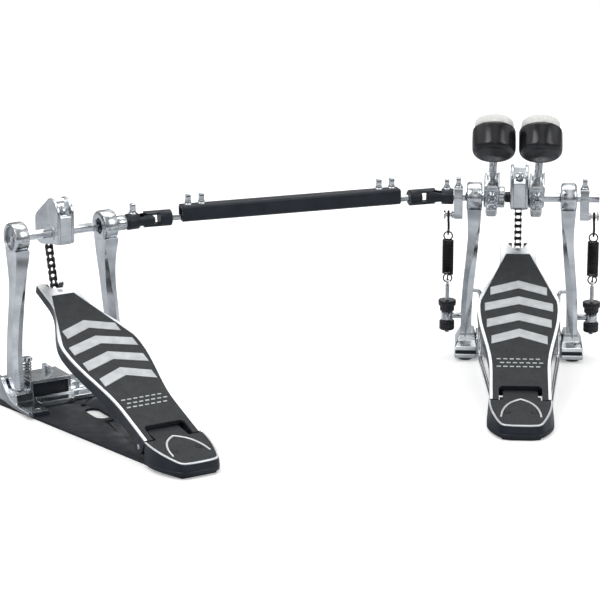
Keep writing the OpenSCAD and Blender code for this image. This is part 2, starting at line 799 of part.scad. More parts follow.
// Cross: a block with two pins through it; the pin along Y turns in its own yoke
module cross() {
  intersection() {
    cube([6.4, 7.6, 7.6], center = true);
    sphere(d = 11);
  }
  along_y() translate([0, 0, -joint_d / 2 + 0.4]) cylinder(h = joint_d - 0.8, d = cross_d);
  translate([0, 0, -joint_d / 2 + 0.6]) cylinder(h = joint_d - 1.2, d = cross_d);
}

module joint_yoke_slave() {
  color(black) at_slave() at_shaft() translate([slave_joint_s, 0, 0]) {
    difference() {
      yoke(run);
      hex_x(-40, -12, hex_af);
    }
    translate([-17, 0, joint_d / 2 - 1]) key_bolt(1, 4);
  }
}
module joint_cross_slave() { color(black) at_slave() at_shaft() translate([slave_joint_s, 0, 0]) cross(); }

module joint_yoke_primary() {
  color(black) at_shaft() translate([main_joint_x, 0, 0]) {
    mirror([1, 0, 0]) difference() {
      yoke(run);
      hex_x(-40, -12, hex_af);
    }
    translate([17, 0, joint_d / 2 - 1]) key_bolt(1, 4);
  }
}
module joint_cross_primary() { color(black) at_shaft() translate([main_joint_x, 0, 0]) cross(); }

module drive_rod_slave() {
  color(steel) at_drive() {
    rotate([90, 0, 0]) mirror([1, 0, 0]) yoke(loose);
    rod_x(12, tube_start + rod_in, rod_d);
  }
}

module drive_rod_primary() {
  color(steel) at_drive() {
    translate([drive_l, 0, 0]) rotate([90, 0, 0]) yoke(loose);
    rod_x(tube_end - rod_in, drive_l - 12, rod_d);
  }
}

module drive_tube() {
  color(black) at_drive() difference() {
    intersection() {
      translate([tube_start, -tube_w / 2, tube_lift - tube_w / 2])
        cube([tube_end - tube_start, tube_w, tube_w]);
      translate([tube_start, 0, tube_lift]) rotate([45, 0, 0]) translate([0, -tube_w * 0.6, -tube_w * 0.6])
        cube([tube_end - tube_start, tube_w * 1.2, tube_w * 1.2]);
    }
    rod_x(0, drive_l, rod_d + 2 * run);
  }
}

module drive_tube_bolts() {
  color(steel) at_drive() for (x = [tube_start + 8, tube_start + 22, tube_end - 22, tube_end - 8])
    translate([x, 0, tube_lift + tube_w / 2]) key_bolt(0, 4);
}

primary_base();
primary_post_left();
primary_post_right();
primary_heel_plate();
radius_rod();
bearings_primary();
hinge_pin_primary();
primary_screws();
rubber_feet();
spring_studs();
hoop_clamp_jaw();
hoop_clamp_screw();
primary_footboard();
primary_grip();
primary_chain();
primary_shaft();
primary_cam();
primary_chain_wrap();
beater_holder_right();
rocker_right();
primary_shaft_screws();
shaft_sleeve();
secondary_shaft();
beater_holder_left();
rocker_left();
secondary_shaft_screws();
joint_yoke_primary();
joint_cross_primary();
beater_rod_left();
beater_head_left();
beater_felt_left();
beater_rod_right();
beater_head_right();
beater_felt_right();
spring_hanger_left();
spring_left();
tension_rod_left();
tension_knob_left();
spring_hanger_right();
spring_right();
tension_rod_right();
tension_knob_right();
drive_tube();
drive_rod_primary();
drive_tube_bolts();
drive_rod_slave();
joint_cross_slave();
joint_yoke_slave();
slave_base_plate();
slave_base();
slave_posts();
slave_heel_plate();
bearings_slave();
hinge_pin_slave();
slave_screws();
slave_footboard();
slave_grip();
slave_chain();
slave_shaft_and_collar();
slave_cam();
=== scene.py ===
"""Looks of the twin bass drum pedal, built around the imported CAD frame."""

import json
import math
import random

import bmesh
import bpy
from mathutils import Matrix, Vector


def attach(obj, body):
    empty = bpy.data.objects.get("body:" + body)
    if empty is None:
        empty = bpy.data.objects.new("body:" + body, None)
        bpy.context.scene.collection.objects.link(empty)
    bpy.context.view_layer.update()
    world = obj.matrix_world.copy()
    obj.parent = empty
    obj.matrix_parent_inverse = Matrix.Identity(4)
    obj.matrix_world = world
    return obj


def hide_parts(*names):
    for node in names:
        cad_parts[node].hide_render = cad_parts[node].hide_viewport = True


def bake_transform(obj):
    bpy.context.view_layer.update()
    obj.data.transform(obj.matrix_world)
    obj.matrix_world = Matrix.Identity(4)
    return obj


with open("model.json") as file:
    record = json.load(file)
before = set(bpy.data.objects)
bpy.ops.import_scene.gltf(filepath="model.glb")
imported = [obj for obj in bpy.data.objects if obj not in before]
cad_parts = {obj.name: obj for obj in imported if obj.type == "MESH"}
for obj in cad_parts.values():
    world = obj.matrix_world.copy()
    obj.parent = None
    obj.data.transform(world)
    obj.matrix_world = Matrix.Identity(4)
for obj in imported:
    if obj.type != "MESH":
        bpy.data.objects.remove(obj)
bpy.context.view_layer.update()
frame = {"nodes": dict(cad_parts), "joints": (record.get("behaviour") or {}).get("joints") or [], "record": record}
random.seed(7)

MM = 0.001
JOINTS = {j["name"]: j for j in frame["joints"]}

# Sizes shared with the CAD, in millimetres
CHAIN_PIN_S = 247
CHAIN_PIN_Z = 6
BOARD_TOP = 13
BOARD_L = 253
BOARD_HEEL = -9
HEEL_GAP = 14.5
HEEL_L = 53
POST_X = 48.5
LEFT_BEATER_X = -31
RIGHT_BEATER_X = 15
CAM_HUB_R = 23


# ------------------------------------------------------------------ places

def yaw_of(name):
    axis = JOINTS[name]["axis"]
    return math.atan2(axis[1], axis[0])


class Pedal:
    """Places on one pedal: its own floor frame, shaft frame and footboard frame."""

    def __init__(self, side):
        self.side = side
        shaft = Vector(JOINTS[side + "_shaft_turn"]["pos_m"]) / MM
        turn = Matrix.Rotation(yaw_of(side + "_shaft_turn"), 4, "Z")
        self.shaft_h = shaft.z
        self.floor = Matrix.Translation((shaft.x, shaft.y, 0)) @ turn
        self.shaft = Matrix.Translation(shaft) @ turn
        inverse = self.floor.inverted()
        hinge = inverse @ (Vector(JOINTS[side + "_board_hinge"]["pos_m"]) / MM)
        toe = inverse @ (Vector(JOINTS[side + "_chain_swing"]["pos_m"]) / MM)
        self.hinge = hinge
        self.toe = toe
        slope = math.atan2(toe.z - hinge.z, toe.y - hinge.y)
        self.tilt = slope - math.atan2(CHAIN_PIN_Z, CHAIN_PIN_S)
        self.board = self.floor @ Matrix.Translation(hinge) @ Matrix.Rotation(self.tilt, 4, "X")
        self.frame_body = "main_frame" if side == "primary" else "slave_frame"


MAIN = Pedal("primary")
SLAVE = Pedal("slave")


# ------------------------------------------------------------------ materials

def new_material(name):
    mat = bpy.data.materials.new(name)
    mat.use_nodes = True
    tree = mat.node_tree
    return mat, tree, tree.nodes["Principled BSDF"]


def add_noise(tree, scale, detail=4, stretch=(1, 1, 1)):
    coords = tree.nodes.new("ShaderNodeTexCoord")
    mapping = tree.nodes.new("ShaderNodeMapping")
    mapping.inputs["Scale"].default_value = stretch
    noise = tree.nodes.new("ShaderNodeTexNoise")
    noise.inputs["Scale"].default_value = scale
    noise.inputs["Detail"].default_value = detail
    tree.links.new(coords.outputs["Object"], mapping.inputs["Vector"])
    tree.links.new(mapping.outputs["Vector"], noise.inputs["Vector"])
    return noise.outputs["Fac"]


def add_range(tree, value, low, high):
    """Map a 0..1 texture value, which sits mostly near 0.5, to low..high."""
    node = tree.nodes.new("ShaderNodeMapRange")
    node.inputs["From Min"].default_value = 0.3
    node.inputs["From Max"].default_value = 0.7
    node.inputs["To Min"].default_value = low
    node.inputs["To Max"].default_value = high
    tree.links.new(value, node.inputs["Value"])
    return node.outputs["Result"]


def add_colours(tree, value, dark, light):
    ramp = tree.nodes.new("ShaderNodeValToRGB")
    ramp.color_ramp.elements[0].position = 0.3
    ramp.color_ramp.elements[0].color = (*dark, 1)
    ramp.color_ramp.elements[1].position = 0.7
    ramp.color_ramp.elements[1].color = (*light, 1)
    tree.links.new(value, ramp.inputs["Fac"])
    return ramp.outputs["Color"]


def add_bump(tree, shader, value, strength, distance):
    bump = tree.nodes.new("ShaderNodeBump")
    bump.inputs["Strength"].default_value = strength
    bump.inputs["Distance"].default_value = distance
    tree.links.new(value, bump.inputs["Height"])
    tree.links.new(bump.outputs["Normal"], shader.inputs["Normal"])


def make_material(name, dark, light, metallic, rough, colour_scale=60, rough_scale=90,
                  bump=None, specular=0.5, sheen=0.0, stretch=(1, 1, 1)):
    """Material whose colour and roughness both vary, with an optional fine bump."""
    mat, tree, shader = new_material(name)
    blotch = add_noise(tree, colour_scale, stretch=stretch)
    tree.links.new(add_colours(tree, blotch, dark, light), shader.inputs["Base Color"])
    smudge = add_noise(tree, rough_scale, detail=6, stretch=stretch)
    tree.links.new(add_range(tree, smudge, *rough), shader.inputs["Roughness"])
    shader.inputs["Metallic"].default_value = metallic
    shader.inputs["Specular IOR Level"].default_value = specular
    shader.inputs["Sheen Weight"].default_value = sheen
    if bump:
        scale, strength, distance = bump
        add_bump(tree, shader, add_noise(tree, scale, detail=3), strength, distance)
    return mat


CAST = make_material("cast_silver", (0.54, 0.57, 0.60), (0.74, 0.77, 0.79), 1.0, (0.12, 0.26),
                     bump=(900, 0.10, 0.0004))
MARK = make_material("mark_grey", (0.44, 0.46, 0.47), (0.56, 0.58, 0.59), 0.35, (0.42, 0.58),
                     colour_scale=120)
RIM = make_material("rim_silver", (0.74, 0.76, 0.78), (0.86, 0.87, 0.88), 1.0, (0.28, 0.42),
                    bump=(1400, 0.12, 0.0003))
STEEL = make_material("bright_steel", (0.54, 0.57, 0.60), (0.74, 0.76, 0.78), 1.0, (0.08, 0.20),
                      stretch=(1, 6, 6), bump=(500, 0.05, 0.0003))
DARK_STEEL = make_material("bearing_steel", (0.30, 0.31, 0.33), (0.50, 0.51, 0.53), 1.0, (0.25, 0.4))
BLACK = make_material("black_paint", (0.007, 0.010, 0.016), (0.014, 0.018, 0.027), 0.0, (0.30, 0.45),
                      specular=0.35, bump=(1800, 0.10, 0.0003))
SPRING = make_material("black_steel", (0.008, 0.008, 0.010), (0.03, 0.03, 0.035), 0.6, (0.28, 0.42))
GRIP = make_material("grip", (0.026, 0.029, 0.032), (0.038, 0.041, 0.044), 0.0, (0.50, 0.68),
                     colour_scale=400, bump=(5200, 0.35, 0.0004), specular=0.25)
GLOSS = make_material("black_plastic", (0.006, 0.006, 0.008), (0.016, 0.017, 0.020), 0.0, (0.16, 0.28),
                      specular=0.45, bump=(300, 0.05, 0.0004))
RUBBER = make_material("rubber", (0.012, 0.012, 0.012), (0.030, 0.030, 0.030), 0.0, (0.6, 0.8),
                       bump=(2500, 0.3, 0.0004))
FELT = make_material("felt", (0.74, 0.75, 0.72), (0.92, 0.92, 0.90), 0.0, (0.85, 1.0),
                     colour_scale=500, bump=(2600, 0.8, 0.0010), sheen=0.6)
SLOT_LOOKS = {
    "die_cast": CAST, "bright_steel": STEEL, "bearing_steel": DARK_STEEL, "black_paint": BLACK,
    "black_steel": SPRING, "grip": GRIP, "black_plastic": GLOSS, "rubber": RUBBER, "felt": FELT,
}
# The slot of each look, for pieces made here
LOOK_SLOTS = {look.name: slot for slot, look in SLOT_LOOKS.items()}
LOOK_SLOTS.update({RIM.name: "die_cast", MARK.name: "die_cast"})


# ------------------------------------------------------------------ CAD pieces that stay

def dress_cad():
    """Give every CAD node its slot's material, soft edges and smooth round faces."""
    slots = {s["node"]: s["material_slot"] for s in frame["record"]["subparts"]}
    for name, obj in frame["nodes"].items():
        obj.data.materials.clear()
        obj.data.materials.append(SLOT_LOOKS[slots[name]])
        weld = obj.modifiers.new("weld", "WELD")
        weld.merge_threshold = 0.00002
        bevel = obj.modifiers.new("edges", "BEVEL")
        bevel.width = 0.0005
        bevel.segments = 2
        bevel.limit_method = "ANGLE"
        bevel.angle_limit = math.radians(32)
        bevel.harden_normals = True
        obj.data.polygons.foreach_set("use_smooth", [True] * len(obj.data.polygons))


dress_cad()


# ------------------------------------------------------------------ mesh helpers

def finish_piece(name, mesh, look, body, place, bevel, angle=30, hidden=()):
    """Turn a bmesh in mm into an object in metres that rides on a body. Its look becomes its material."""
    bmesh.ops.remove_doubles(mesh, verts=mesh.verts, dist=0.002)
    bmesh.ops.recalc_face_normals(mesh, faces=mesh.faces)
    for face in mesh.faces:
        face.smooth = True
    for edge in mesh.edges:
        if len(edge.link_faces) == 2 and edge.calc_face_angle() > math.radians(angle):
            edge.smooth = False
    data = bpy.data.meshes.new(name)
    mesh.to_mesh(data)
    mesh.free()
    data.transform(Matrix.Scale(MM, 4) @ place)
    data.materials.append(look)
    obj = bpy.data.objects.new(name, data)
    bpy.context.scene.collection.objects.link(obj)
    if bevel:
        edges = obj.modifiers.new("edges", "BEVEL")
        edges.width = bevel * MM
        edges.segments = 3
        edges.limit_method = "ANGLE"
        edges.angle_limit = math.radians(angle)
        edges.harden_normals = True
    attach(obj, body)
    if hidden:
        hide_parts(*hidden)
    return obj


def add_prism(mesh, outline, low, high):
    """Closed prism over a 2D outline; low and high are heights or functions of (x, y)."""
    low_at = low if callable(low) else lambda x, y: low
    high_at = high if callable(high) else lambda x, y: high
    bottom = [mesh.verts.new((x, y, low_at(x, y))) for x, y in outline]
    top = [mesh.verts.new((x, y, high_at(x, y))) for x, y in outline]
    mesh.faces.new(list(reversed(bottom)))
    mesh.faces.new(top)
    count = len(outline)
    for i in range(count):
        j = (i + 1) % count
        mesh.faces.new((bottom[i], bottom[j], top[j], top[i]))


def add_plate(mesh, halves, low, high):
    """Solid plate from outlines that share edges. They are joined before they get thickness."""
    flat = bmesh.new()
    for outline in halves:
        flat.faces.new([flat.verts.new((x, y, 0)) for x, y in outline])
    bmesh.ops.remove_doubles(flat, verts=flat.verts, dist=0.002)
    bmesh.ops.recalc_face_normals(flat, faces=flat.faces)
    low_at = low if callable(low) else lambda x, y: low
    high_at = high if callable(high) else lambda x, y: high
    pairs = {}
    for vert in flat.verts:
        x, y = vert.co.x, vert.co.y
        pairs[vert] = (mesh.verts.new((x, y, low_at(x, y))), mesh.verts.new((x, y, high_at(x, y))))
    for face in flat.faces:
        mesh.faces.new([pairs[v][1] for v in face.verts])
        mesh.faces.new([pairs[v][0] for v in reversed(face.verts)])
    for edge in flat.edges:
        if len(edge.link_faces) == 1:
            a, b = edge.verts
            mesh.faces.new((pairs[a][0], pairs[b][0], pairs[b][1], pairs[a][1]))
    flat.free()


def add_loft(mesh, rings, close=False):
    """Skin over rings of equal length; the ends are capped unless the skin closes on itself."""
    made = [[mesh.verts.new(p) for p in ring] for ring in rings]
    count = len(rings[0])
    last = len(made) if close else len(made) - 1
    for k in range(last):
        a, b = made[k], made[(k + 1) % len(made)]
        for i in range(count):
            j = (i + 1) % count
            mesh.faces.new((a[i], a[j], b[j], b[i]))
    if not close:
        mesh.faces.new(list(reversed(made[0])))
        mesh.faces.new(made[-1])


def add_lathe(mesh, profile, steps=48, place=Matrix.Identity(4)):
    """Turned solid: profile is [radius, height] from the axis to the axis."""
    rings = []
    for radius, height in profile:
        if radius < 0.001:
            rings.append([mesh.verts.new(place @ Vector((0, 0, height)))])
        else:
            rings.append([mesh.verts.new(place @ Vector((radius * math.cos(math.tau * i / steps),
                                                         radius * math.sin(math.tau * i / steps), height)))
                          for i in range(steps)])
    for a, b in zip(rings, rings[1:]):
        for i in range(steps):
            j = (i + 1) % steps
            if len(a) == 1 and len(b) == 1:
                continue
            if len(a) == 1:
                mesh.faces.new((a[0], b[j], b[i]))
            elif len(b) == 1:
                mesh.faces.new((a[i], a[j], b[0]))
            else:
                mesh.faces.new((a[i], a[j], b[j], b[i]))


def add_ring(mesh, profile, steps=48, place=Matrix.Identity(4)):
    """Turned ring: profile is a closed loop of [radius, height]."""
    rings = []
    for i in range(steps):
        a = math.tau * i / steps
        rings.append([place @ Vector((r * math.cos(a), r * math.sin(a), h)) for r, h in profile])
    add_loft(mesh, rings, close=True)


def add_sweep(mesh, points, radius, steps=12):
    """Round wire along a polyline. The wire's frame turns with it, so it doesn't twist."""
    points = [Vector(p) for p in points]
    rings = []
    side = None
    for k, point in enumerate(points):
        ahead = points[min(k + 1, len(points) - 1)] - points[max(k - 1, 0)]
        ahead.normalize()
        if side is None:
            side = ahead.orthogonal().normalized()
        side = (side - ahead * side.dot(ahead)).normalized()
        up = ahead.cross(side)
        size = radius[k] if isinstance(radius, list) else radius
        turns = [math.tau * i / steps for i in range(steps)]
        rings.append([point + size * (side * math.cos(a) + up * math.sin(a)) for a in turns])
    add_loft(mesh, rings)


def rounded(points, radius, steps=6):
    """Polyline in 3D with its corners rounded to the given bend radius."""
    points = [Vector(p) for p in points]
    out = [points[0]]
    for a, b, c in zip(points, points[1:], points[2:]):
        back, ahead = (a - b), (c - b)
        cut = min(radius, back.length * 0.45, ahead.length * 0.45)
        start, end = b + back.normalized() * cut, b + ahead.normalized() * cut
        for i in range(steps + 1):
            t = i / steps
            out.append(start * (1 - t) ** 2 + b * 2 * t * (1 - t) + end * t * t)
    out.append(points[-1])
    return out


def add_box(mesh, x0, x1, y0, y1, z0, z1):
    add_prism(mesh, [(x0, y0), (x1, y0), (x1, y1), (x0, y1)], z0, z1)


def add_slab(mesh, x0, x1, outline):
    """Plate in the YZ plane between x0 and x1."""
    add_loft(mesh, [[(x0, y, z) for y, z in outline], [(x1, y, z) for y, z in outline]])


def add_holed_plate(mesh, corners, centre, radius, low, high, steps=24):
    """Four-cornered plate with a round hole: four wedges, each from one side of the plate to the hole."""
    middle = Vector(centre)
    ring = [middle + radius * Vector((math.cos(math.tau * i / steps), math.sin(math.tau * i / steps)))
            for i in range(steps)]
    nearest = [min(range(steps), key=lambda i: (ring[i] - Vector(corner)).length) for corner in corners]
    wedges = []
    for k in range(4):
        a, b = nearest[k], nearest[(k + 1) % 4]
        turn = (b - a) % steps
        step = 1 if turn <= steps / 2 else -1
        arc = [ring[(a + step * i) % steps] for i in range(abs(turn if step > 0 else turn - steps) + 1)]
        wedges.append([corners[k], corners[(k + 1) % 4]] + [tuple(p) for p in reversed(arc)])
    add_plate(mesh, wedges, low, high)


def along(axis):
    """Place that turns local Z to lie along X or Y."""
    if axis == "X":
        return Matrix.Rotation(math.pi / 2, 4, "Y")
    return Matrix.Rotation(-math.pi / 2, 4, "X")


def mirrored(points):
    return [(-x, y) for x, y in reversed(points)]


# ------------------------------------------------------------------ footboards

def ease(t):
    return (1 - math.cos(math.pi * min(1.0, max(0.0, t)))) / 2


def board_half(s):
    """Half width of the footboard at distance s from its hinge pin."""
    return 30 + 12 * ease((s - 37) / 103) - 23.5 * ease((s - 140) / 83)


def side_points(start, end, inset, count):
    return [(board_half(start + (end - start) * i / count) - inset, start + (end - start) * i / count)
            for i in range(count + 1)]


GRIP_END = 231
GRIP_BEND = 150
RIM_W = 3.2
WINDOW_HALF = 21
WINDOW_END = 12
TONGUE_HALF = 17


def grip_side(inset, count=26):
    """Edge of the grip: along the board's side, then straight to the toe, from heel to toe."""
    points = side_points(BOARD_HEEL, GRIP_BEND, RIM_W + inset, count)
    return points + [(12 - inset * 0.6, GRIP_END - inset)]


def build_footboard(pedal, nodes):
    side, body = pedal.side, pedal.side + "_board"
    bottom = lambda x, y: 0.0 if y < 60 else (y - 60) * 0.021

    # painted shell: walls, deck and hinge ears
    shell = bmesh.new()
    outer = side_points(BOARD_HEEL, BOARD_L, 0.15, 60)
    inner = list(reversed(side_points(BOARD_HEEL + 27, BOARD_L - 14, 3.2, 50)))
    wall = outer + [(6, BOARD_L), (6, BOARD_L - 11), (0, BOARD_L - 11), (0, BOARD_L - 14)] + inner
    wall += [(22, BOARD_HEEL + 27), (22, BOARD_HEEL)]
    add_plate(shell, [wall, mirrored(wall)], bottom, BOARD_TOP - 3.5)
    deck = outer + [(6, BOARD_L), (6, BOARD_L - 11), (0, BOARD_L - 11), (0, WINDOW_END)]
    deck += [(WINDOW_HALF - 3, WINDOW_END), (WINDOW_HALF, WINDOW_END - 3), (WINDOW_HALF, BOARD_HEEL)]
    add_plate(shell, [deck, mirrored(deck)], BOARD_TOP - 3.5, BOARD_TOP - 1.2)
    add_box(shell, -24, 24, WINDOW_END, WINDOW_END + 3, 0.4, BOARD_TOP - 3.4)
    finish_piece(side + "_board_shell", shell, BLACK, body, pedal.board, 0.6)

    ears = bmesh.new()
    for sign in (-1, 1):
        profile = [(2.6, 0), (6.6, 0), (7.4, 0.8), (7.4, 7.9), (2.6, 7.9)]
        place = Matrix.Translation((sign * 22.2, 0, 0)) @ Matrix.Rotation(sign * math.pi / 2, 4, "Y")
        add_ring(ears, profile, 40, place)
    finish_piece(side + "_board_ears", ears, BLACK, body, pedal.board, 0.3)

    # bare metal rim, widening into the toe
    rim = bmesh.new()
    edge = side_points(BOARD_HEEL, BOARD_L - 2, 0.0, 60) + [(board_half(BOARD_L) - 1.6, BOARD_L)]
    edge += [(9.5, BOARD_L), (9.5, BOARD_L - 4), (8.2, BOARD_L - 5), (9.5, BOARD_L - 6), (6.5, BOARD_L - 8)]
    edge += [(6, BOARD_L - 11), (0, BOARD_L - 11), (0, GRIP_END)]
    edge += list(reversed(grip_side(0)))
    add_plate(rim, [edge, mirrored(edge)], BOARD_TOP - 1.2, BOARD_TOP + 0.5)
    finish_piece(side + "_board_rim", rim, RIM, body, pedal.board, 0.45, hidden=nodes[:1])

    # charcoal grip around the heel window
    grip = bmesh.new()
    pad = grip_side(0.05) + [(0, GRIP_END - 0.05), (0, WINDOW_END)]
    pad += [(WINDOW_HALF - 3, WINDOW_END), (WINDOW_HALF, WINDOW_END - 3), (WINDOW_HALF, BOARD_HEEL)]
    add_plate(grip, [pad, mirrored(pad)], BOARD_TOP - 1.2, BOARD_TOP + 0.1)
    finish_piece(side + "_board_grip", grip, GRIP, body, pedal.board, 0.15, hidden=nodes[1:])

    # generic raised pattern: nested chevrons and a field of short traction bars
    marks = bmesh.new()
    for s in (78, 105, 132, 159):
        reach = board_half(s + 8) - RIM_W - 4.5
        drop, width = 12, 13
        half = [(0, s + drop), (reach, s), (reach, s + width), (0, s + drop + width)]
        add_plate(marks, [half, mirrored(half)], BOARD_TOP - 0.3, BOARD_TOP + 0.75)
    for row in range(3):
        for column in range(-3, 4):
            x, s = column * 6.4 + (row % 2) * 3.2 - 1.6, 42 + row * 6
            bar = [(x - 2.1, s - 0.8), (x + 2.1, s - 0.8), (x + 2.1, s + 0.8), (x - 2.1, s + 0.8)]
            add_prism(marks, bar, BOARD_TOP - 0.3, BOARD_TOP + 0.6)
    finish_piece(side + "_board_pattern", marks, MARK, body, pedal.board, 0.25)

    # toe screw
    screw = bmesh.new()
    add_lathe(screw, [(0, 0), (2.6, 0), (2.6, 0.5), (2.1, 0.9), (0.9, 0.9), (0.8, 0.2), (0, 0.2)], 32,
              Matrix.Translation((0, BOARD_L - 16, BOARD_TOP + 0.1)))
    finish_piece(side + "_toe_screw", screw, DARK_STEEL, body, pedal.board, 0)


build_footboard(MAIN, ("primary_footboard", "primary_grip"))
build_footboard(SLAVE, ("slave_footboard", "slave_grip"))


# ------------------------------------------------------------------ heel plates

HEEL_FRONT_H = 23.6
HEEL_BACK_H = 14.5


HEEL_EDGE = [(31.5, 0), (31.2, -9), (30.2, -18), (28.4, -27), (25.8, -36), (23.0, -43.5), (21.2, -47.6),
             (19.2, -50.2),
             (16.4, -51.7), (9, -52.7)]


def heel_side(inset, flare=0.0):
    """Right edge of the heel plate from its front corner to its rear. Flare widens the middle."""
    points = []
    for x, y in HEEL_EDGE:
        bulge = flare * math.sin(math.pi * min(1.0, -y / 50))
        pull = Vector((-x, -20 - y)).normalized() * inset
        points.append((x + bulge + pull.x, min(0.0, y + (pull.y if y < 0 else 0.0))))
    return points


def build_heel(pedal, nodes, low):
    side = pedal.side
    place = pedal.floor @ Matrix.Translation((pedal.hinge.x, pedal.hinge.y - HEEL_GAP, 0))
    top = lambda x, y: HEEL_FRONT_H + (HEEL_FRONT_H - HEEL_BACK_H) * y / HEEL_L

    block = bmesh.new()
    outer, waist, upper = heel_side(0, 2.4), heel_side(0.5, 2.4), heel_side(0.6)
    rings = []
    for points, level in ((outer, lambda x, y: low), (outer, lambda x, y: low + 3.4),
                          (waist, lambda x, y: low + 3.9), (waist, lambda x, y: low + 4.5),
                          (outer, lambda x, y: low + 5.0), (upper, lambda x, y: top(x, y) - 0.6)):
        loop = points + mirrored(points)
        rings.append([(x, y, level(x, y)) for x, y in loop])
    add_loft(block, rings)
    finish_piece(side + "_heel_body", block, BLACK, pedal.frame_body, place, 0.5,
                 hidden=nodes)

    rim = bmesh.new()
    edge = heel_side(0.6)
    inner = heel_side(2.7)
    half = edge + [(0, -HEEL_L + 0.7), (0, -HEEL_L + 2.8)] + list(reversed(inner))
    add_plate(rim, [half, mirrored(half)], lambda x, y: top(x, y) - 0.8, lambda x, y: top(x, y) + 0.5)
    finish_piece(side + "_heel_rim", rim, RIM, pedal.frame_body, place, 0.4)

    panel = bmesh.new()
    half = heel_side(2.8) + [(0, -HEEL_L + 2.9), (0, 4.4), (2, 4.2), (9, 0)]
    add_plate(panel, [half, mirrored(half)], lambda x, y: top(x, y) - 0.8, lambda x, y: top(x, y))
    finish_piece(side + "_heel_panel", panel, GRIP, pedal.frame_body, place, 0.15)

    # tongue that carries the heel's slope forward into the footboard's window
    tongue = bmesh.new()
    reach = HEEL_GAP + WINDOW_END - 3
    half = [(TONGUE_HALF, -1), (TONGUE_HALF, reach - 2), (TONGUE_HALF - 2, reach), (0, reach), (0, -1)]
    add_plate(tongue, [half, mirrored(half)], lambda x, y: top(x, y) - 4, lambda x, y: top(x, y) - 1.5)
    finish_piece(side + "_heel_tongue", tongue, GRIP, pedal.frame_body, place, 0.3)

    # pointed arch, drawn as one raised line from its tip to both ends
    arc = bmesh.new()
    line = [(0, 3.4), (5, 0.2), (9.6, -3.6), (13.2, -8.2), (16.2, -14), (18.4, -20.6), (19.6, -27),
            (20.2, -34)]
    inside = [(0, 0.8), (3.9, -1.7), (8.1, -5.2), (11.5, -9.5), (14.3, -14.9), (16.4, -21.1),
              (17.6, -27.3), (18.3, -34)]
    half = line + list(reversed(inside))
    add_plate(arc, [half, mirrored(half)], lambda x, y: top(x, y) - 0.3, lambda x, y: top(x, y) + 0.55)
    finish_piece(side + "_heel_arch", arc, RIM, pedal.frame_body, place, 0.3)

    knuckle = bmesh.new()
    profile = [(2.55, -20), (5.9, -20), (6.5, -19.4), (6.5, 19.4), (5.9, 20), (2.55, 20)]
    add_ring(knuckle, profile, 40, Matrix.Translation((0, HEEL_GAP, pedal.hinge.z)) @ along("X"))
    add_box(knuckle, -20, 20, -0.5, HEEL_GAP, 5.5, 13.5)
    finish_piece(side + "_heel_knuckle", knuckle, BLACK, pedal.frame_body, place, 0.4)

    screws = bmesh.new()
    for x in (-13, 13):
        spot = Matrix.Translation((x, -24, top(0, -24) - 0.6)) @ Matrix.Rotation(math.atan2(9.1,
                                                                                            HEEL_L), 4, "X")
        add_lathe(screws, [(0, 0), (3.6, 0), (3.6, 0.9), (3.0, 1.0), (2.2, 0.6), (1.0, 0.6), (0.9, 0.1),
                           (0, 0.1)],
                  32, spot)
    finish_piece(side + "_heel_screws", screws, SPRING, pedal.frame_body, place, 0)


build_heel(MAIN, ("primary_heel_plate", "primary_screws"), 2)
build_heel(SLAVE, ("slave_heel_plate",), 3)


# ------------------------------------------------------------------ posts and bases

BORE_R = 11.0
HOUSE_R = 15.4


def post_mid(z):
    return POST_X + 6.5 * ease((144 - z) / 105)


def post_half(z):
    return 5.6 + 2.4 * max(0.0, (z - 124) / 45)


def lerp_table(table, z):
    """Value at z from a list of (z, value), straight between its entries."""
    for (z0, v0), (z1, v1) in zip(table, table[1:]):
        if z <= z1:
            t = max(0.0, (z - z0) / (z1 - z0))
            return v0 + (v1 - v0) * t
    return table[-1][1]


POST_FRONT = [(18, -15), (40, -11.5), (70, -10), (110, -10), (140, -12.5), (160, -14)]
POST_BACK = [(18, 9), (60, 8), (110, 9), (140, 12), (160, 14)]
POST_CREASE = [(18, 0.15), (90, 0.1), (122, -0.35), (148, -0.95), (160, -0.95)]
POST_CREASE_DEPTH = [(18, 3.6), (100, 3.6), (140, 3.0), (152, 0.6), (160, 0.4)]


def build_post(pedal, side, nodes, name):
    """Cast post: a creased arm that bows outwards, under a round bearing housing."""
    flip = Matrix.Scale(side, 4, (1, 0, 0))
    place = pedal.floor @ flip
    arm = bmesh.new()
    rings = []
    for k in range(37):
        z = 18 + (158 - 18) * k / 36
        mid, half = post_mid(z), post_half(z)
        front, back = lerp_table(POST_FRONT, z), lerp_table(POST_BACK, z)
        crease, depth = lerp_table(POST_CREASE, z), lerp_table(POST_CREASE_DEPTH, z)
        rings.append([(mid - half, back - 2.5, z), (mid - half, front + depth, z),
                      (mid + crease * half, front, z), (mid + half, front + depth, z),
                      (mid + half, back - 2.5, z), (mid + half - 2.2, back, z), (mid - half + 2.2, back,
                                                                                 z)])
    add_loft(arm, rings)
    finish_piece(name + "_arm", arm, CAST, pedal.frame_body, place, 0.5, angle=12)

    house = bmesh.new()
    inner, outer = POST_X - 8, POST_X + 8
    seat = POST_X - 2.5
    profile = [(7.6, inner + 0.8), (8.4, inner), (HOUSE_R - 2.6, inner), (HOUSE_R - 0.8, inner + 0.8),
               (HOUSE_R, inner + 2.6), (HOUSE_R, outer - 2.6), (HOUSE_R - 0.8, outer - 0.8),
               (HOUSE_R - 2.6, outer), (BORE_R + 1.0, outer), (BORE_R + 0.02, outer - 0.9),
               (BORE_R + 0.02, seat), (7.6, seat)]
    add_ring(house, profile, 64, Matrix.Translation((0, 0, pedal.shaft_h)) @ along("X"))
    finish_piece(name + "_housing", house, CAST, pedal.frame_body, place, 0.3, angle=35,
                 hidden=nodes)


FOOT_IN = POST_X - 5
FOOT_OUT = POST_X + 18


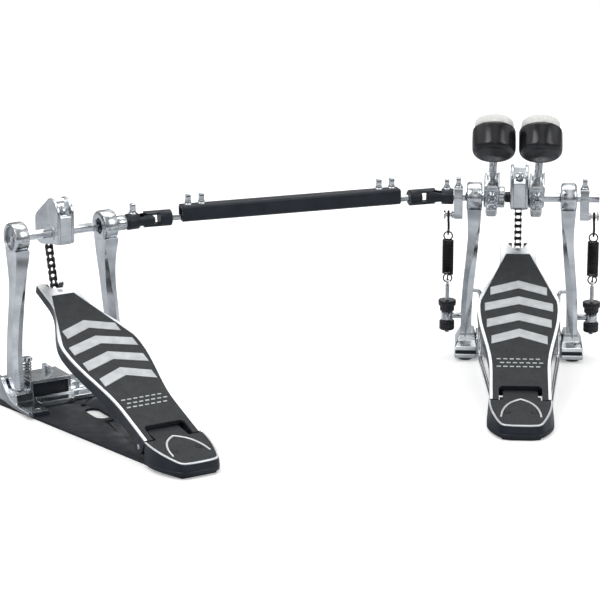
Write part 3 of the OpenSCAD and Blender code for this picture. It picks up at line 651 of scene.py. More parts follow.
def build_foot(pedal, side, front, name):
    """Cast foot: a wedge that flares up to the post, over a dark slot and a rounded lip."""
    place = pedal.floor @ Matrix.Scale(side, 4, (1, 0, 0))
    wedge = bmesh.new()
    levels = [(11.5, 0, 0, front, 20), (15, 0.4, 0.4, front + 2, 19.8), (19, 1.6, 2.4, -16, 18.5),
              (23, 2.6, 4.4, -13.5, 16), (27, 3.6, 6.0, -12.6, 12)]
    rings = []
    for z, cut_in, cut_out, y0, y1 in levels:
        x0, x1 = FOOT_IN + cut_in, FOOT_OUT - cut_out
        rings.append([(x0, y0, z), (x1, y0, z), (x1, y1, z), (x0, y1, z)])
    add_loft(wedge, rings)
    finish_piece(name + "_wedge", wedge, CAST, pedal.frame_body, place, 1.0, angle=8)

    slot = bmesh.new()
    add_box(slot, FOOT_IN + 1, FOOT_OUT - 1, front + 1.5, 19, 7, 12)
    finish_piece(name + "_slot", slot, BLACK, pedal.frame_body, place, 0.4)

    lip = bmesh.new()
    add_box(lip, FOOT_IN, FOOT_OUT, front - 1, 20, 3, 8)
    finish_piece(name + "_lip", lip, CAST, pedal.frame_body, place, 1.8)


def build_beam(pedal, nodes):
    """Cast beam between the feet, with a raised trough and a sheet lip on the player's side."""
    side = pedal.side
    half = FOOT_IN + 1
    beam = bmesh.new()
    section = [(-14, 3), (22, 3), (22, 20), (18, 23), (-9, 23), (-13, 20), (-14, 14)]
    rings = [[(x, y, z) for y, z in section] for x in (-half, half)]
    add_loft(beam, rings)
    finish_piece(side + "_beam", beam, CAST, pedal.frame_body, pedal.floor, 1.2, hidden=nodes)
    lip = bmesh.new()
    add_box(lip, -36, 36, -25, -13, 3, 7.5)
    finish_piece(side + "_beam_lip", lip, CAST, pedal.frame_body, pedal.floor, 1.4)


def build_slave_foot(side, name):
    """Low foot: a curved outer wall round the post's end, and a thin tab with a screw hole."""
    place = SLAVE.floor @ Matrix.Scale(side, 4, (1, 0, 0))
    wall = bmesh.new()
    curve = [(20, 3), (20, 27), (9, 27), (6.5, 26), (3, 21.5), (-3, 15.5), (-11, 10.5), (-20, 8),
             (-32, 7), (-53, 7), (-53, 3)]
    add_slab(wall, FOOT_OUT - 4.5, FOOT_OUT, curve)
    add_slab(wall, FOOT_IN, FOOT_OUT - 4, [(20, 3), (20, 25), (11, 25), (10, 18), (-12, 18),
                                           (-18, 14.5), (-20, 8), (-20, 3)])
    finish_piece(name + "_wall", wall, CAST, "slave_frame", place, 0.9, angle=16)
    tab = bmesh.new()
    outer = [(FOOT_IN, -19), (FOOT_IN, -54), (FOOT_OUT - 3.6, -54), (FOOT_OUT - 3.6, -19)]
    add_holed_plate(tab, outer, (POST_X + 4, -46), 2.5, 3, 7)
    finish_piece(name + "_tab", tab, CAST, "slave_frame", place, 0.6)


def build_slave_base():
    """Tall box with a dark recess beside the left foot, and a low ribbed beam to the right one."""
    left, right = -FOOT_IN - 1, FOOT_IN + 1
    frame_bars = bmesh.new()
    add_box(frame_bars, left, 0, -10, 22, 3, 24)
    for x0, x1, z0, z1 in ((left, 0, 21.5, 25), (left, 0, 3, 6.4), (-3, 0, 5, 23), (left, left + 3, 5, 23)):
        add_box(frame_bars, x0, x1, -13.4, 21.6, z0, z1)
    finish_piece("slave_base_box", frame_bars, CAST, "slave_frame", SLAVE.floor, 0.7,
                 hidden=("slave_base", "slave_screws"))
    recess = bmesh.new()
    add_box(recess, left + 2, -2, -11.2, -9.5, 6, 22)
    finish_piece("slave_base_recess", recess, BLACK, "slave_frame", SLAVE.floor, 0.2)
    beam = bmesh.new()
    section = [(-13, 3), (22, 3), (22, 12), (18, 15), (2, 15), (-1, 12), (-9, 11), (-13, 8)]
    add_loft(beam, [[(x, y, z) for y, z in section] for x in (-0.5, right)])
    for x in (10, 22, 34):
        add_box(beam, x - 1.2, x + 1.2, -11, 19, 10, 16.4)
    flange = [(left + 2, -32), (-6, -32), (-3, -28), (right - 2, -28), (right - 2, -12), (left + 2, -12)]
    add_prism(beam, flange, 3, 8)
    add_box(beam, left + 4, 2, -17, -12, 7, 9.6)
    finish_piece("slave_base_beam", beam, CAST, "slave_frame", SLAVE.floor, 0.8)
    lug = bmesh.new()
    rings = []
    for y, cut in ((10, 1.2), (11, 0), (18, 0), (19, 1.2)):
        rings.append([(-17 + cut, y, 24), (-6, y, 24), (-9, y, 28.5 - cut), (-13, y, 31.5 - cut),
                      (-17 + cut, y, 31.5 - cut)])
    add_loft(lug, rings)
    finish_piece("slave_base_lug", lug, CAST, "slave_frame", SLAVE.floor, 0.6)


def build_sprung_screw():
    """Cross-head screw with a short spring below its head, standing on the slave base's box."""
    place = SLAVE.floor @ Matrix.Translation((-POST_X + 11, 8, 25))
    screw = bmesh.new()
    add_lathe(screw, [(0, -0.5), (2.2, -0.5), (2.2, 14.6), (5.0, 15.2), (5.6, 15.8), (5.6, 17.2),
                      (4.6, 18.6),
                      (2.4, 19.2), (2.2, 18.2), (0, 18.2)], 36)
    finish_piece("sprung_screw_shank", screw, STEEL, "slave_frame", place, 0)
    coil = bmesh.new()
    turns, steps = 4.5, 20
    path = []
    for i in range(int(turns * steps) + 1):
        a = math.tau * i / steps
        path.append((3.9 * math.cos(a), 3.9 * math.sin(a), 0.8 + 13.2 * i / (turns * steps)))
    add_sweep(coil, path, 0.75, 10)
    finish_piece("sprung_screw_coil", coil, DARK_STEEL, "slave_frame", place, 0, angle=80)


build_beam(MAIN, ("primary_base",))
build_slave_base()
build_sprung_screw()
for label, sign in (("left", -1), ("right", 1)):
    build_post(MAIN, sign, ("primary_post_" + label,), "primary_post_" + label + "_new")
    build_foot(MAIN, sign, -29, "primary_foot_" + label)
    build_post(SLAVE, sign, ("slave_posts",) if sign > 0 else (), "slave_post_" + label)
    build_slave_foot(sign, "slave_foot_" + label)


# ------------------------------------------------------------------ springs, hangers and knobs

ROCKER_R = 19
ROCKER_A = math.radians(8)
SPRING_X = 75
SPRING_TOP = 124
SPRING_LOW = 86
WIRE = 1.5
COIL_R = 5.25
LOOP_R = 4.4
LOOP_RISE = 3.6
TURNS = 23


def build_spring(side, sign, nodes):
    """Wound spring with a ring at each end. It stretches between the tension rod and the hanger."""
    y = JOINTS[side + "_spring_swing"]["pos_m"][1] / MM
    place = Matrix.Translation((sign * SPRING_X, y, 0))
    points = []
    low_c, high_c = SPRING_LOW - LOOP_RISE, SPRING_TOP + LOOP_RISE
    for i in range(25):
        a = math.radians(-90 - 330 + 330 * i / 24)
        points.append((LOOP_R * math.cos(a), 0, low_c + LOOP_R * math.sin(a)))
    steps = 20
    for i in range(TURNS * steps + 1):
        t = i / (TURNS * steps)
        a = math.tau * i / steps - math.pi / 2
        points.append((COIL_R * math.cos(a), COIL_R * math.sin(a),
                       SPRING_LOW + 0.8 + (SPRING_TOP - SPRING_LOW - 1.6) * t))
    for i in range(25):
        a = math.radians(-80 + 330 * i / 24)
        points.append((LOOP_R * math.cos(a), 0, high_c + LOOP_R * math.sin(a)))
    coil = bmesh.new()
    add_sweep(coil, points, WIRE / 2, 8)
    obj = finish_piece(side + "_spring_coil", coil, SPRING, side + "_tension", place, 0,
                       hidden=nodes)
    obj.parent = None
    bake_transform(obj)


def build_hanger(side, sign, node, pin_z):
    """Bent strap that hooks over the rocker pin."""
    y = JOINTS[side + "_spring_swing"]["pos_m"][1] / MM
    place = Matrix.Translation((sign * SPRING_X, y, 0))
    low = SPRING_TOP + LOOP_RISE + LOOP_R
    strap = bmesh.new()
    path = [(0, 0, low - 1.2), (0.4, 0, low + 4), (0.2, 0, pin_z - 6.5)]
    for i in range(13):
        a = math.radians(-95 + 300 * i / 12)
        path.append((0, 4.3 * math.cos(a), pin_z - 1.6 + 4.9 * math.sin(a)))
    add_sweep(strap, path, 1.25, 10)
    eye = [(0.95 * math.cos(math.tau * i / 10), 0.95 * math.sin(math.tau * i / 10)) for i in range(10)]
    add_ring(strap, [(2.7 + a, b) for a, b in eye], 28, Matrix.Translation((0, 0, low)) @ along("X"))
    finish_piece(side + "_hanger_strap", strap, SPRING, side + "_hanger", place, 0,
                 hidden=(node,))


def build_knob(side, node):
    """Turned knob with a flange and knurled grip above the stud, and a lock nut below it."""
    joint = JOINTS[side + "_knob_turn"]["pos_m"]
    place = Matrix.Translation(Vector(joint) / MM)
    knob = bmesh.new()
    upper = [(2.35, 5), (6.6, 5), (7.6, 5.8), (7.6, 10.4), (8.8, 11.2), (9.2, 12), (9.2, 16.2),
             (8.6, 17), (2.35, 17)]
    lower = [(2.35, -15), (7.0, -15), (7.9, -14.2), (7.9, -6.0), (7.2, -5.2), (2.35, -5.2)]
    for profile in (upper, lower):
        rings = []
        for i in range(96):
            a = math.tau * i / 96
            dent = 0.35 if i % 6 < 2 else 0.0
            rings.append([(Vector(((r - dent if r > 7.3 else r) * math.cos(a),
                                   (r - dent if r > 7.3 else r) * math.sin(a), h)))
                          for r, h in profile])
        add_loft(knob, rings, close=True)
    finish_piece(side + "_knob", knob, GLOSS, side + "_knob", place, 0.2, angle=50,
                 hidden=(node,))


def build_tension_rod(side, sign, node):
    """Threaded rod with an eye at its upper end."""
    y = JOINTS[side + "_spring_swing"]["pos_m"][1] / MM
    place = Matrix.Translation((sign * SPRING_X, y, 0))
    low = SPRING_LOW - LOOP_RISE - LOOP_R
    rod = bmesh.new()
    profile = [(0, 24)]
    z = 24.0
    while z < low - 3.2:
        profile += [(1.95, z), (2.25, z + 0.3), (1.95, z + 0.6)]
        z += 0.8
    profile += [(1.95, z), (0, z)]
    add_lathe(rod, profile, 20)
    eye = [(1.05 * math.cos(math.tau * i / 12), 1.4 * math.sin(math.tau * i / 12)) for i in range(12)]
    add_ring(rod, [(2.65 + a, b) for a, b in eye], 32, Matrix.Translation((0, 0, low)) @ along("X"))
    finish_piece(side + "_tension_thread", rod, STEEL, side + "_tension", place, 0,
                 hidden=(node,))


for label, sign in (("left", -1), ("right", 1)):
    build_spring(label, sign, ("spring_" + label,))
    build_hanger(label, sign, "spring_hanger_" + label, MAIN.shaft_h - ROCKER_R * math.cos(ROCKER_A))
    build_knob(label, "tension_knob_" + label)
    build_tension_rod(label, sign, "tension_rod_" + label)


# ------------------------------------------------------------------ beaters

def lean_place(side):
    """Place of the beaters' own axes: Z along the beater rod, from the shaft's middle."""
    up = Vector(JOINTS[side + "_beater_height"]["axis"])
    lean = math.atan2(-up.y, up.z)
    return MAIN.shaft @ Matrix.Rotation(lean, 4, "X")


BEATER_L = 130
BEATER_R = 21.5


def build_beater(side, x, nodes):
    place = lean_place(side) @ Matrix.Translation((x, 0, BEATER_L))
    body = side + "_beater"
    head = bmesh.new()
    profile = [(0, -12.6), (4.6, -12.6), (5.4, -12.2)]
    for i in range(11):
        a = math.radians(90 * i / 10)
        profile.append((BEATER_R - 6.2 + 6.2 * math.sin(a), -12 + 7.2 - 7.2 * math.cos(a)))
    profile += [(BEATER_R + 0.1, 4), (BEATER_R - 0.1, 13.2), (BEATER_R - 0.5, 14.8),
                (BEATER_R - 1.5, 16), (BEATER_R - 3.5, 16.6), (0, 16.6)]
    add_lathe(head, profile, 72, along("Y"))
    finish_piece(side + "_beater_shell", head, GLOSS, body, place, 0.3, angle=40,
                 hidden=nodes[:1])

    felt = bmesh.new()
    rings = 72
    radius = BEATER_R - 2.6
    profile = [(0, 16), (radius, 16), (radius + 0.3, 18), (radius + 0.35, 21), (radius - 0.1, 23.4),
               (radius - 1.4, 25.2), (radius - 4, 26), (radius - 9, 26.3), (0, 26.4)]
    add_lathe(felt, profile, rings, along("Y"))
    for vert in felt.verts:
        if vert.co.y > 17:
            vert.co += vert.co.normalized() * random.uniform(-0.22, 0.22)
    finish_piece(side + "_beater_felt", felt, FELT, body, place, 0, angle=80, hidden=nodes[1:])


build_beater("left", LEFT_BEATER_X, ("beater_head_left", "beater_felt_left"))
build_beater("right", RIGHT_BEATER_X, ("beater_head_right", "beater_felt_right"))


# ------------------------------------------------------------------ cams

CAM_X = -2.5
CAM_HALF = 9
CHEEK_W = 3.2
CAM_EDGE = [(-16, -8), (-16, 22), (-14.5, 27), (-10.5, 31), (-5, 33.8), (0, 34.5), (5, 33.6), (33, 14),
            (35.5, 10.5),
            (36, 6), (36, -5), (35, -11), (32.5, -14.5), (28, -16), (22, -16), (-3, -11), (-13, -10)]


def hub_edge(radius, steps):
    """Circle that carries the chain, cut off where it would show outside the cheeks."""
    edge = []
    for i in range(steps):
        angle = math.tau * i / steps
        y = max(-15.6, radius * math.cos(angle))
        floor = -7.8 if y < -13 else -10.4 - 0.2 * max(0.0, y + 3)
        point = (y, max(floor, radius * math.sin(angle)))
        if not edge or math.dist(point, edge[-1]) > 0.05:
            edge.append(point)
    return edge


def build_cam(pedal, nodes):
    side = pedal.side
    body = side + "_shaft_body" if side == "primary" else "slave_shaft_body"
    place = pedal.shaft @ Matrix.Translation((CAM_X, 0, 0))
    cheeks = bmesh.new()
    for x0 in (-CAM_HALF, CAM_HALF - CHEEK_W):
        add_slab(cheeks, x0, x0 + CHEEK_W, CAM_EDGE)
    finish_piece(side + "_cam_cheeks", cheeks, CAST, body, place, 1.1, hidden=nodes)
    core = bmesh.new()
    inner = CAM_HALF - CHEEK_W + 0.2
    add_slab(core, -inner, inner, [(-15.8, -7.8), (-15.8, 17.6), (-14.8, 18.6), (-10.6, 18.8),
                                   (-4.4, 29.4), (-2.6, 32),
                                   (0, 33.6), (4, 24), (1, -10.6), (-3, -10.8), (-13, -9.8)])
    finish_piece(side + "_cam_core", core, CAST, body, place, 0.6)
    hub = bmesh.new()
    add_slab(hub, -inner, inner, hub_edge(CAM_HUB_R, 64))
    finish_piece(side + "_cam_hub", hub, CAST, body, place, 0.4)
    collar = bmesh.new()
    for sign in (-1, 1):
        ring = [(4.75, 0), (8.4, 0), (8.4, 0.5), (7.6, 1.0), (4.75, 1.0)]
        add_ring(collar, ring, 40, Matrix.Rotation(sign * math.pi / 2, 4,
                                                   "Y") @ Matrix.Translation((0, 0, CAM_HALF - 0.3)))
    finish_piece(side + "_cam_bosses", collar, CAST, body, place, 0.15)
    pocket = place @ Matrix.Translation((0, -8.4, 24.0)) @ Matrix.Rotation(math.radians(60), 4, "X")
    screw = bmesh.new()
    add_lathe(screw, [(0, -3), (3.6, -3), (3.7, 0.6), (3.9, 0.8), (4.0, 1.8), (3.3, 2.8), (2.0, 3.3),
                      (0, 3.4)], 40)
    finish_piece(side + "_cam_screw", screw, STEEL, body, pocket, 0)
    cross = bmesh.new()
    for a in (0, math.pi / 2):
        arm = bmesh.new()
        add_box(arm, -2.2, 2.2, -0.42, 0.42, 2.0, 3.5)
        arm.transform(Matrix.Rotation(a + 0.5, 4, "Z"))
        temp = bpy.data.meshes.new("arm")
        arm.to_mesh(temp)
        arm.free()
        cross.from_mesh(temp)
        bpy.data.meshes.remove(temp)
    finish_piece(side + "_cam_screw_cross", cross, DARK_STEEL, body, pocket, 0)


build_cam(MAIN, ("primary_cam",))
build_cam(SLAVE, ("slave_cam",))


# ------------------------------------------------------------------ chains

CHAIN_R = 28
PITCH = 6.35
CHAIN_SPARE = 18
WRAP_FROM = 42
WRAP_LINKS = 3


def link_plate(mesh, x0, x1):
    """Figure-of-eight side plate between two pins, in a link's own frame: along Z from 0 to PITCH."""
    outline = []
    for i in range(13):
        a = math.radians(-180 + 180 * i / 12)
        outline.append((2.55 * math.cos(a), 2.55 * math.sin(a)))
    outline += [(2.0, PITCH * 0.35), (1.85, PITCH * 0.5), (2.0, PITCH * 0.65)]
    for i in range(13):
        a = math.radians(180 * i / 12)
        outline.append((2.55 * math.cos(a), PITCH + 2.55 * math.sin(a)))
    outline += [(-2.0, PITCH * 0.65), (-1.85, PITCH * 0.5), (-2.0, PITCH * 0.35)]
    add_slab(mesh, x0, x1, outline)


def add_bar_x(mesh, x0, x1, radius, z, steps=20):
    add_lathe(mesh, [(0, x0), (radius * 0.85, x0), (radius, x0 + 0.2), (radius, x1 - 0.2),
                     (radius * 0.85, x1), (0, x1)],
              steps, Matrix.Translation((0, 0, z)) @ along("X"))


def add_link(mesh, place, outer):
    link = bmesh.new()
    if outer:
        link_plate(link, -3.5, -2.75)
        link_plate(link, 2.75, 3.5)
        for z in (0, PITCH):
            add_bar_x(link, -3.95, 3.95, 1.1, z)
    else:
        link_plate(link, -2.6, -1.85)
        link_plate(link, 1.85, 2.6)
        for z in (0, PITCH):
            add_ring(link, [(1.15, -1.8), (1.65, -1.8), (1.65, 1.8), (1.15, 1.8)], 20,
                     Matrix.Translation((0, 0, z)) @ along("X"))
    link.transform(place)
    temp = bpy.data.meshes.new("link")
    link.to_mesh(temp)
    link.free()
    mesh.from_mesh(temp)
    bpy.data.meshes.remove(temp)


def build_chain(pedal, nodes):
    """Straight run from the toe pin up to the cam, and the short wrap that stays on the cam."""
    side = pedal.side
    foot = Vector((pedal.toe.y, pedal.toe.z - pedal.shaft_h))
    far = foot.length
    touch = math.atan2(foot.y, foot.x) + math.acos(CHAIN_R / far)
    run = math.sqrt(far ** 2 - CHAIN_R ** 2)
    count = round((run + CHAIN_SPARE) / PITCH)
    chain = bmesh.new()
    for i in range(count):
        add_link(chain, Matrix.Translation((0, 0, i * PITCH)), i % 2 == 0)
    add_bar_x(chain, -10.8, 10.8, 1.2, 0)
    place = pedal.floor @ Matrix.Translation((CAM_X, pedal.toe.y, pedal.toe.z)) @ Matrix.Rotation(touch,
                                                                                                  4, "X")
    finish_piece(side + "_chain_links", chain, SPRING, side + "_chain_run", place, 0,
                 angle=45, hidden=nodes)
    wrap = bmesh.new()
    step = 2 * math.asin(PITCH / 2 / CHAIN_R)
    for i in range(WRAP_LINKS):
        turn = Matrix.Rotation(math.radians(WRAP_FROM) + i * step, 4,
                               "X") @ Matrix.Translation((0, CHAIN_R, 0))
        add_link(wrap, turn @ Matrix.Rotation(step / 2, 4, "X"), i % 2 == 0)
    body = side + "_shaft_body" if side == "primary" else "slave_shaft_body"
    finish_piece(side + "_chain_wrap_links", wrap, SPRING, body,
                 pedal.shaft @ Matrix.Translation((CAM_X, 0, 0)), 0, angle=45,
                 hidden=("primary_chain_wrap",) if side == "primary" else ())


build_chain(MAIN, ("primary_chain",))
build_chain(SLAVE, ("slave_chain",))


# ------------------------------------------------------------------ radius rod

def build_radius_rod():
    heel = MAIN.hinge.y - HEEL_GAP
    rod = bmesh.new()
    for sign in (-1, 1):
        path = [(POST_X + 4, -5, 70), (POST_X - 8, -5, 70), (POST_X - 8, -32, 6), (24, heel - 7, 5)]
        add_sweep(rod, rounded([(sign * x, y, z) for x, y, z in path], 7), 2.0, 14)
    finish_piece("radius_rod_wire", rod, STEEL, "main_frame", MAIN.floor, 0,
                 hidden=("radius_rod",))


build_radius_rod()


# ------------------------------------------------------------------ beater holders and rockers

def rounded_rect(x0, x1, y0, y1, radius, z, steps=4):
    """Ring of points round a rectangle with rounded corners, at height z."""
    ring = []
    corners = ((x1 - radius, y0 + radius, -90), (x1 - radius, y1 - radius, 0),
               (x0 + radius, y1 - radius, 90), (x0 + radius, y0 + radius, 180))
    for cx, cy, start in corners:
        for i in range(steps + 1):
            a = math.radians(start + 90 * i / steps)
            ring.append((cx + radius * math.cos(a), cy + radius * math.sin(a), z))
    return ring


def add_key_bolt(mesh, place, d=4.0):
    """Square-headed drum bolt standing on its washer at Z = 0."""
    part = bmesh.new()
    add_lathe(part, [(0, -0.4), (d / 2 + 2.4, -0.4), (d / 2 + 2.5, 0.2), (d / 2 + 2.3, 1.2),
                     (d / 2 + 1.5, 1.7),
                     (d / 2 + 1.3, 3.0), (d / 2 + 1.0, 4.0), (0, 4.2)], 32)
    rings = []
    for z, half in ((3.6, 2.2), (4.2, 2.35), (9.6, 2.35), (10.2, 2.1), (10.5, 1.6)):
        rings.append([(x * half, y * half, z) for x, y in ((-1, -1), (1, -1), (1, 1), (-1, 1))])
    add_loft(part, rings)
    part.transform(place)
    temp = bpy.data.meshes.new("bolt")
    part.to_mesh(temp)
    part.free()
    mesh.from_mesh(temp)
    bpy.data.meshes.remove(temp)


def build_holder(side, x, start, end, nodes):
    """Clamp round the shaft, with a tower that grips the beater rod and a split tail."""
    body = "primary_shaft_body" if side == "right" else "secondary_shaft_body"
    place = lean_place(side) @ Matrix.Translation((x, 0, 0))
    tower = bmesh.new()
    rings = []
    for z, grow in ((6, 0), (22, 0), (23.2, -1.0), (25, -1.0), (26.2, 0), (35.5, 0), (36.7, -1.2),
                    (38, -1.2),
                    (39, -0.2), (43, -0.2), (44.2, -1.6)):
        rings.append(rounded_rect(-8 - grow, 8 + grow, -9 - grow, 10 + grow, 2.4, z))
    add_loft(tower, rings)
    finish_piece(side + "_holder_tower", tower, CAST, body, place, 0.3, angle=40, hidden=nodes)
    hub = bmesh.new()
    lo, hi = start - x, end - x
    add_ring(hub, [(4.75, lo), (10, lo), (11, lo + 1), (11, hi - 1), (10, hi), (4.75, hi)], 56, along("X"))
    finish_piece(side + "_holder_hub", hub, CAST, body, place, 0.25)
    tail = bmesh.new()
    for low, high in ((-8, -0.7), (0.7, 7.5)):
        rings = []
        for y, cut in ((-6, 0), (-15, 0), (-18, 0.8), (-19.2, 2.2)):
            rings.append([(-6 + cut, y, low + cut * 0.4), (6 - cut, y, low + cut * 0.4),
                          (6 - cut, y, high - cut * 0.4), (-6 + cut, y, high - cut * 0.4)])
        add_loft(tail, rings)
    finish_piece(side + "_holder_tail", tail, CAST, body, place, 0.5)
    bolts = bmesh.new()
    add_key_bolt(bolts, Matrix.Translation((0, -9, 30)) @ Matrix.Rotation(math.pi / 2, 4, "X"), 5)
    add_key_bolt(bolts, Matrix.Translation((0, -13.5, 7.5)), 4)
    finish_piece(side + "_holder_bolts", bolts, STEEL, body, place, 0.15)


build_holder("right", RIGHT_BEATER_X, 7, 23, ("beater_holder_right",))
build_holder("left", LEFT_BEATER_X, -39, -17.5, ("beater_holder_left",))

ROCKER_X = POST_X + 12
ROCKER_W = 9


def build_rocker(side, sign, nodes):
    """Block clamped on the shaft, with a bolt on top and a headed pin for the spring hanger below."""
    body = "primary_shaft_body" if sign > 0 else "secondary_shaft_body"
    place = MAIN.shaft @ Matrix.Scale(sign, 4, (1, 0, 0))
    block = bmesh.new()
    rings = []
    for z, y0, y1 in ((9.6, -5.4, 5.4), (9.0, -6.2, 6.2), (1.6, -7.2, 7.2), (0.7, -7.2, 7.2)):
        rings.append([(ROCKER_X, y0, z), (ROCKER_X + ROCKER_W, y0, z), (ROCKER_X + ROCKER_W, y1, z),
                      (ROCKER_X, y1, z)])
    add_loft(block, rings)
    shift = math.tan(ROCKER_A)
    rings = []
    for z, half in ((-0.7, 7.2), (-3, 6.8), (-12, 5.7), (-19, 5.5), (-21.6, 4.6), (-22.6, 3.0)):
        y = z * shift
        rings.append([(ROCKER_X, y - half, z), (ROCKER_X + ROCKER_W, y - half, z),
                      (ROCKER_X + ROCKER_W, y + half, z),
                      (ROCKER_X, y + half, z)])
    add_loft(block, rings)
    finish_piece(side + "_rocker_block", block, CAST, body, place, 0.7, angle=20, hidden=nodes)
    hinge = bmesh.new()
    add_box(hinge, ROCKER_X + 0.6, ROCKER_X + ROCKER_W - 0.6, 2.5, 6.8, -1, 1)
    finish_piece(side + "_rocker_web", hinge, DARK_STEEL, body, place, 0)
    pin = bmesh.new()
    add_lathe(pin, [(0, ROCKER_X + 7), (3.4, ROCKER_X + 7), (3.5, SPRING_X - 3.4), (3.2, SPRING_X - 3),
                    (2, SPRING_X - 3),
                    (2, SPRING_X + 3), (4.2, SPRING_X + 3), (4.6, SPRING_X + 3.6), (4.4, SPRING_X + 4.6),
                    (3.4, SPRING_X + 5), (0, SPRING_X + 5)], 32,
              Matrix.Rotation(-ROCKER_A, 4, "X") @ Matrix.Translation((0, 0, -ROCKER_R)) @ along("X"))
    finish_piece(side + "_rocker_pin", pin, STEEL, body, place, 0)
    bolt = bmesh.new()
    add_key_bolt(bolt, Matrix.Translation((ROCKER_X + ROCKER_W / 2, 0, 9.5)), 4)
    finish_piece(side + "_rocker_bolt", bolt, STEEL, body, place, 0.15)


build_rocker("left", -1, ("rocker_left", "secondary_shaft_screws"))
build_rocker("right", 1, ("rocker_right", "primary_shaft_screws"))


# ------------------------------------------------------------------ drive shaft

JOINT_R = 8.25
YOKE_L = 24
TUBE_LIFT = 3.6


def fork_rings(mesh, sign):
    """One ear of a fork: the joint's middle at 0, the pin along Y, the hub towards -X."""
    rings = []
    for x in (-13, -11, -8.5, -4.5, -2.5, 0, 2.2, 3.6, 4.4):
        half = 4.5 if x < -5 else (5.4 if x < 0 else math.sqrt(max(0.3, 5.4 ** 2 - (x * 1.12) ** 2)))
        arc = [half * (1 - 2 * i / 8) for i in range(9)]
        outer = [(x, sign * math.sqrt(JOINT_R ** 2 - z * z), z) for z in arc]
        inner = [(x, sign * 4.7, z) for z in reversed(arc)]
        rings.append(outer + inner)
    add_loft(mesh, rings)


def build_fork(name, body, place, bolt, nodes):
    """Half of a universal joint: a round hub and two ears, with a drum-key bolt if it clamps a shaft."""
    fork = bmesh.new()
    add_lathe(fork, [(0, -YOKE_L), (JOINT_R - 0.8, -YOKE_L), (JOINT_R, -YOKE_L + 0.8), (JOINT_R, -12.4),
                     (JOINT_R - 0.6, -11.4),
                     (0, -11.4)], 56, along("X"))
    for sign in (-1, 1):
        fork_rings(fork, sign)
    finish_piece(name + "_fork", fork, BLACK, body, place, 0.35, angle=35, hidden=nodes)
    if bolt:
        clamp = bmesh.new()
        add_key_bolt(clamp, Matrix.Translation((-17, 0, JOINT_R - 0.6)), 4)
        finish_piece(name + "_fork_bolt", clamp, STEEL, body, place, 0.15)


def build_cross(name, body, place, node):
    """Cross of a universal joint: a rounded block and four pin ends."""
    cross = bmesh.new()
    rings = [rounded_rect(-3.2 + cut, 3.2 - cut, -3.8 + cut, 3.8 - cut, 1.2, z)
             for z, cut in ((-3.8, 0.6), (-3.2, 0), (3.2, 0), (3.8, 0.6))]
    add_loft(cross, rings)
    finish_piece(name + "_cross_block", cross, DARK_STEEL, body, place, 0.2, hidden=(node,))
    pins = bmesh.new()
    profile = [(0, -7.9), (1.4, -7.9), (2.0, -7.5), (2.45, -7.2), (2.45, 7.2), (2.0, 7.5), (1.4, 7.9),
               (0, 7.9)]
    for turn in (Matrix.Identity(4), along("Y")):
        add_lathe(pins, profile, 28, turn)
    finish_piece(name + "_cross_pins", pins, SPRING, body, place, 0)


def build_drive_rod(name, body, place, start, end):
    rod = bmesh.new()
    add_lathe(rod, [(0, start), (3.45, start), (3.45, end - 0.8), (2.9, end), (0, end)], 40, along("X"))
    finish_piece(name + "_rod", rod, STEEL, body, place, 0)


def build_drive_tube(place, start, end, node):
    """Rounded square tube with chamfered edges. It sits high on the rods that slide in it."""
    tube = bmesh.new()
    half, cut, low, high = 8.0, 1.8, -8.0 + TUBE_LIFT, 8.0 + TUBE_LIFT
    outline = [(-half + cut, low), (half - cut, low), (half, low + cut), (half, high - cut),
               (half - cut, high),
               (-half + cut, high), (-half, high - cut), (-half, low + cut)]
    rings = []
    for x, shrink in ((start + 3, 0.62), (start + 0.2, 0.66), (start, 0.86), (start + 0.6, 1.0),
                      (end - 0.6, 1.0),
                      (end, 0.86), (end - 0.2, 0.66), (end - 3, 0.62)):
        rings.append([(x, y * shrink, TUBE_LIFT + (z - TUBE_LIFT) * shrink) for y, z in outline])
    add_loft(tube, rings)
    finish_piece("drive_tube_shell", tube, BLACK, "drive_tube_body", place, 0.35, angle=25,
                 hidden=(node,))


def build_drive():
    slave_joint = Vector(JOINTS["slave_cross_tilt"]["pos_m"]) / MM
    main_joint = Vector(JOINTS["primary_cross_tilt"]["pos_m"]) / MM
    length = (main_joint - slave_joint).length
    line = Matrix.Translation(slave_joint) @ Matrix.Rotation(yaw_of("drive_rod_turn"), 4, "Z")
    far = line @ Matrix.Translation((length, 0, 0))
    quarter = Matrix.Rotation(math.pi / 2, 4, "X")
    flip = Matrix.Rotation(math.pi, 4, "Z")
    slave_turn = Matrix.Rotation(yaw_of("slave_shaft_turn"), 4, "Z")
    build_fork("slave_yoke", "slave_shaft_body", Matrix.Translation(slave_joint) @ slave_turn, True,
               ("joint_yoke_slave",))
    build_fork("primary_yoke", "secondary_shaft_body", Matrix.Translation(main_joint) @ flip, True,
               ("joint_yoke_primary",))
    build_fork("drive_rod_slave", "drive_rod_body", line @ quarter @ flip, False, ("drive_rod_slave",))
    build_fork("drive_rod_primary", "drive_tube_body", far @ quarter, False, ("drive_rod_primary",))
    build_cross("slave", "slave_cross", Matrix.Translation(slave_joint) @ slave_turn, "joint_cross_slave")
    build_cross("primary", "primary_cross", Matrix.Translation(main_joint), "joint_cross_primary")
    build_drive_rod("drive_rod_slave", "drive_rod_body", line, 20, 104)
    build_drive_rod("drive_rod_primary", "drive_tube_body", far @ flip, 20, 104)
    build_drive_tube(line, 34, length - 35, "drive_tube")
    bolts = bmesh.new()
    for x in (42, 56, length - 57, length - 43):
        add_key_bolt(bolts, Matrix.Translation((x, 0, 8 + TUBE_LIFT)), 4)
    finish_piece("drive_bolts", bolts, STEEL, "drive_tube_body", line, 0.15,
                 hidden=("drive_tube_bolts",))


build_drive()


# ------------------------------------------------------------------ stage

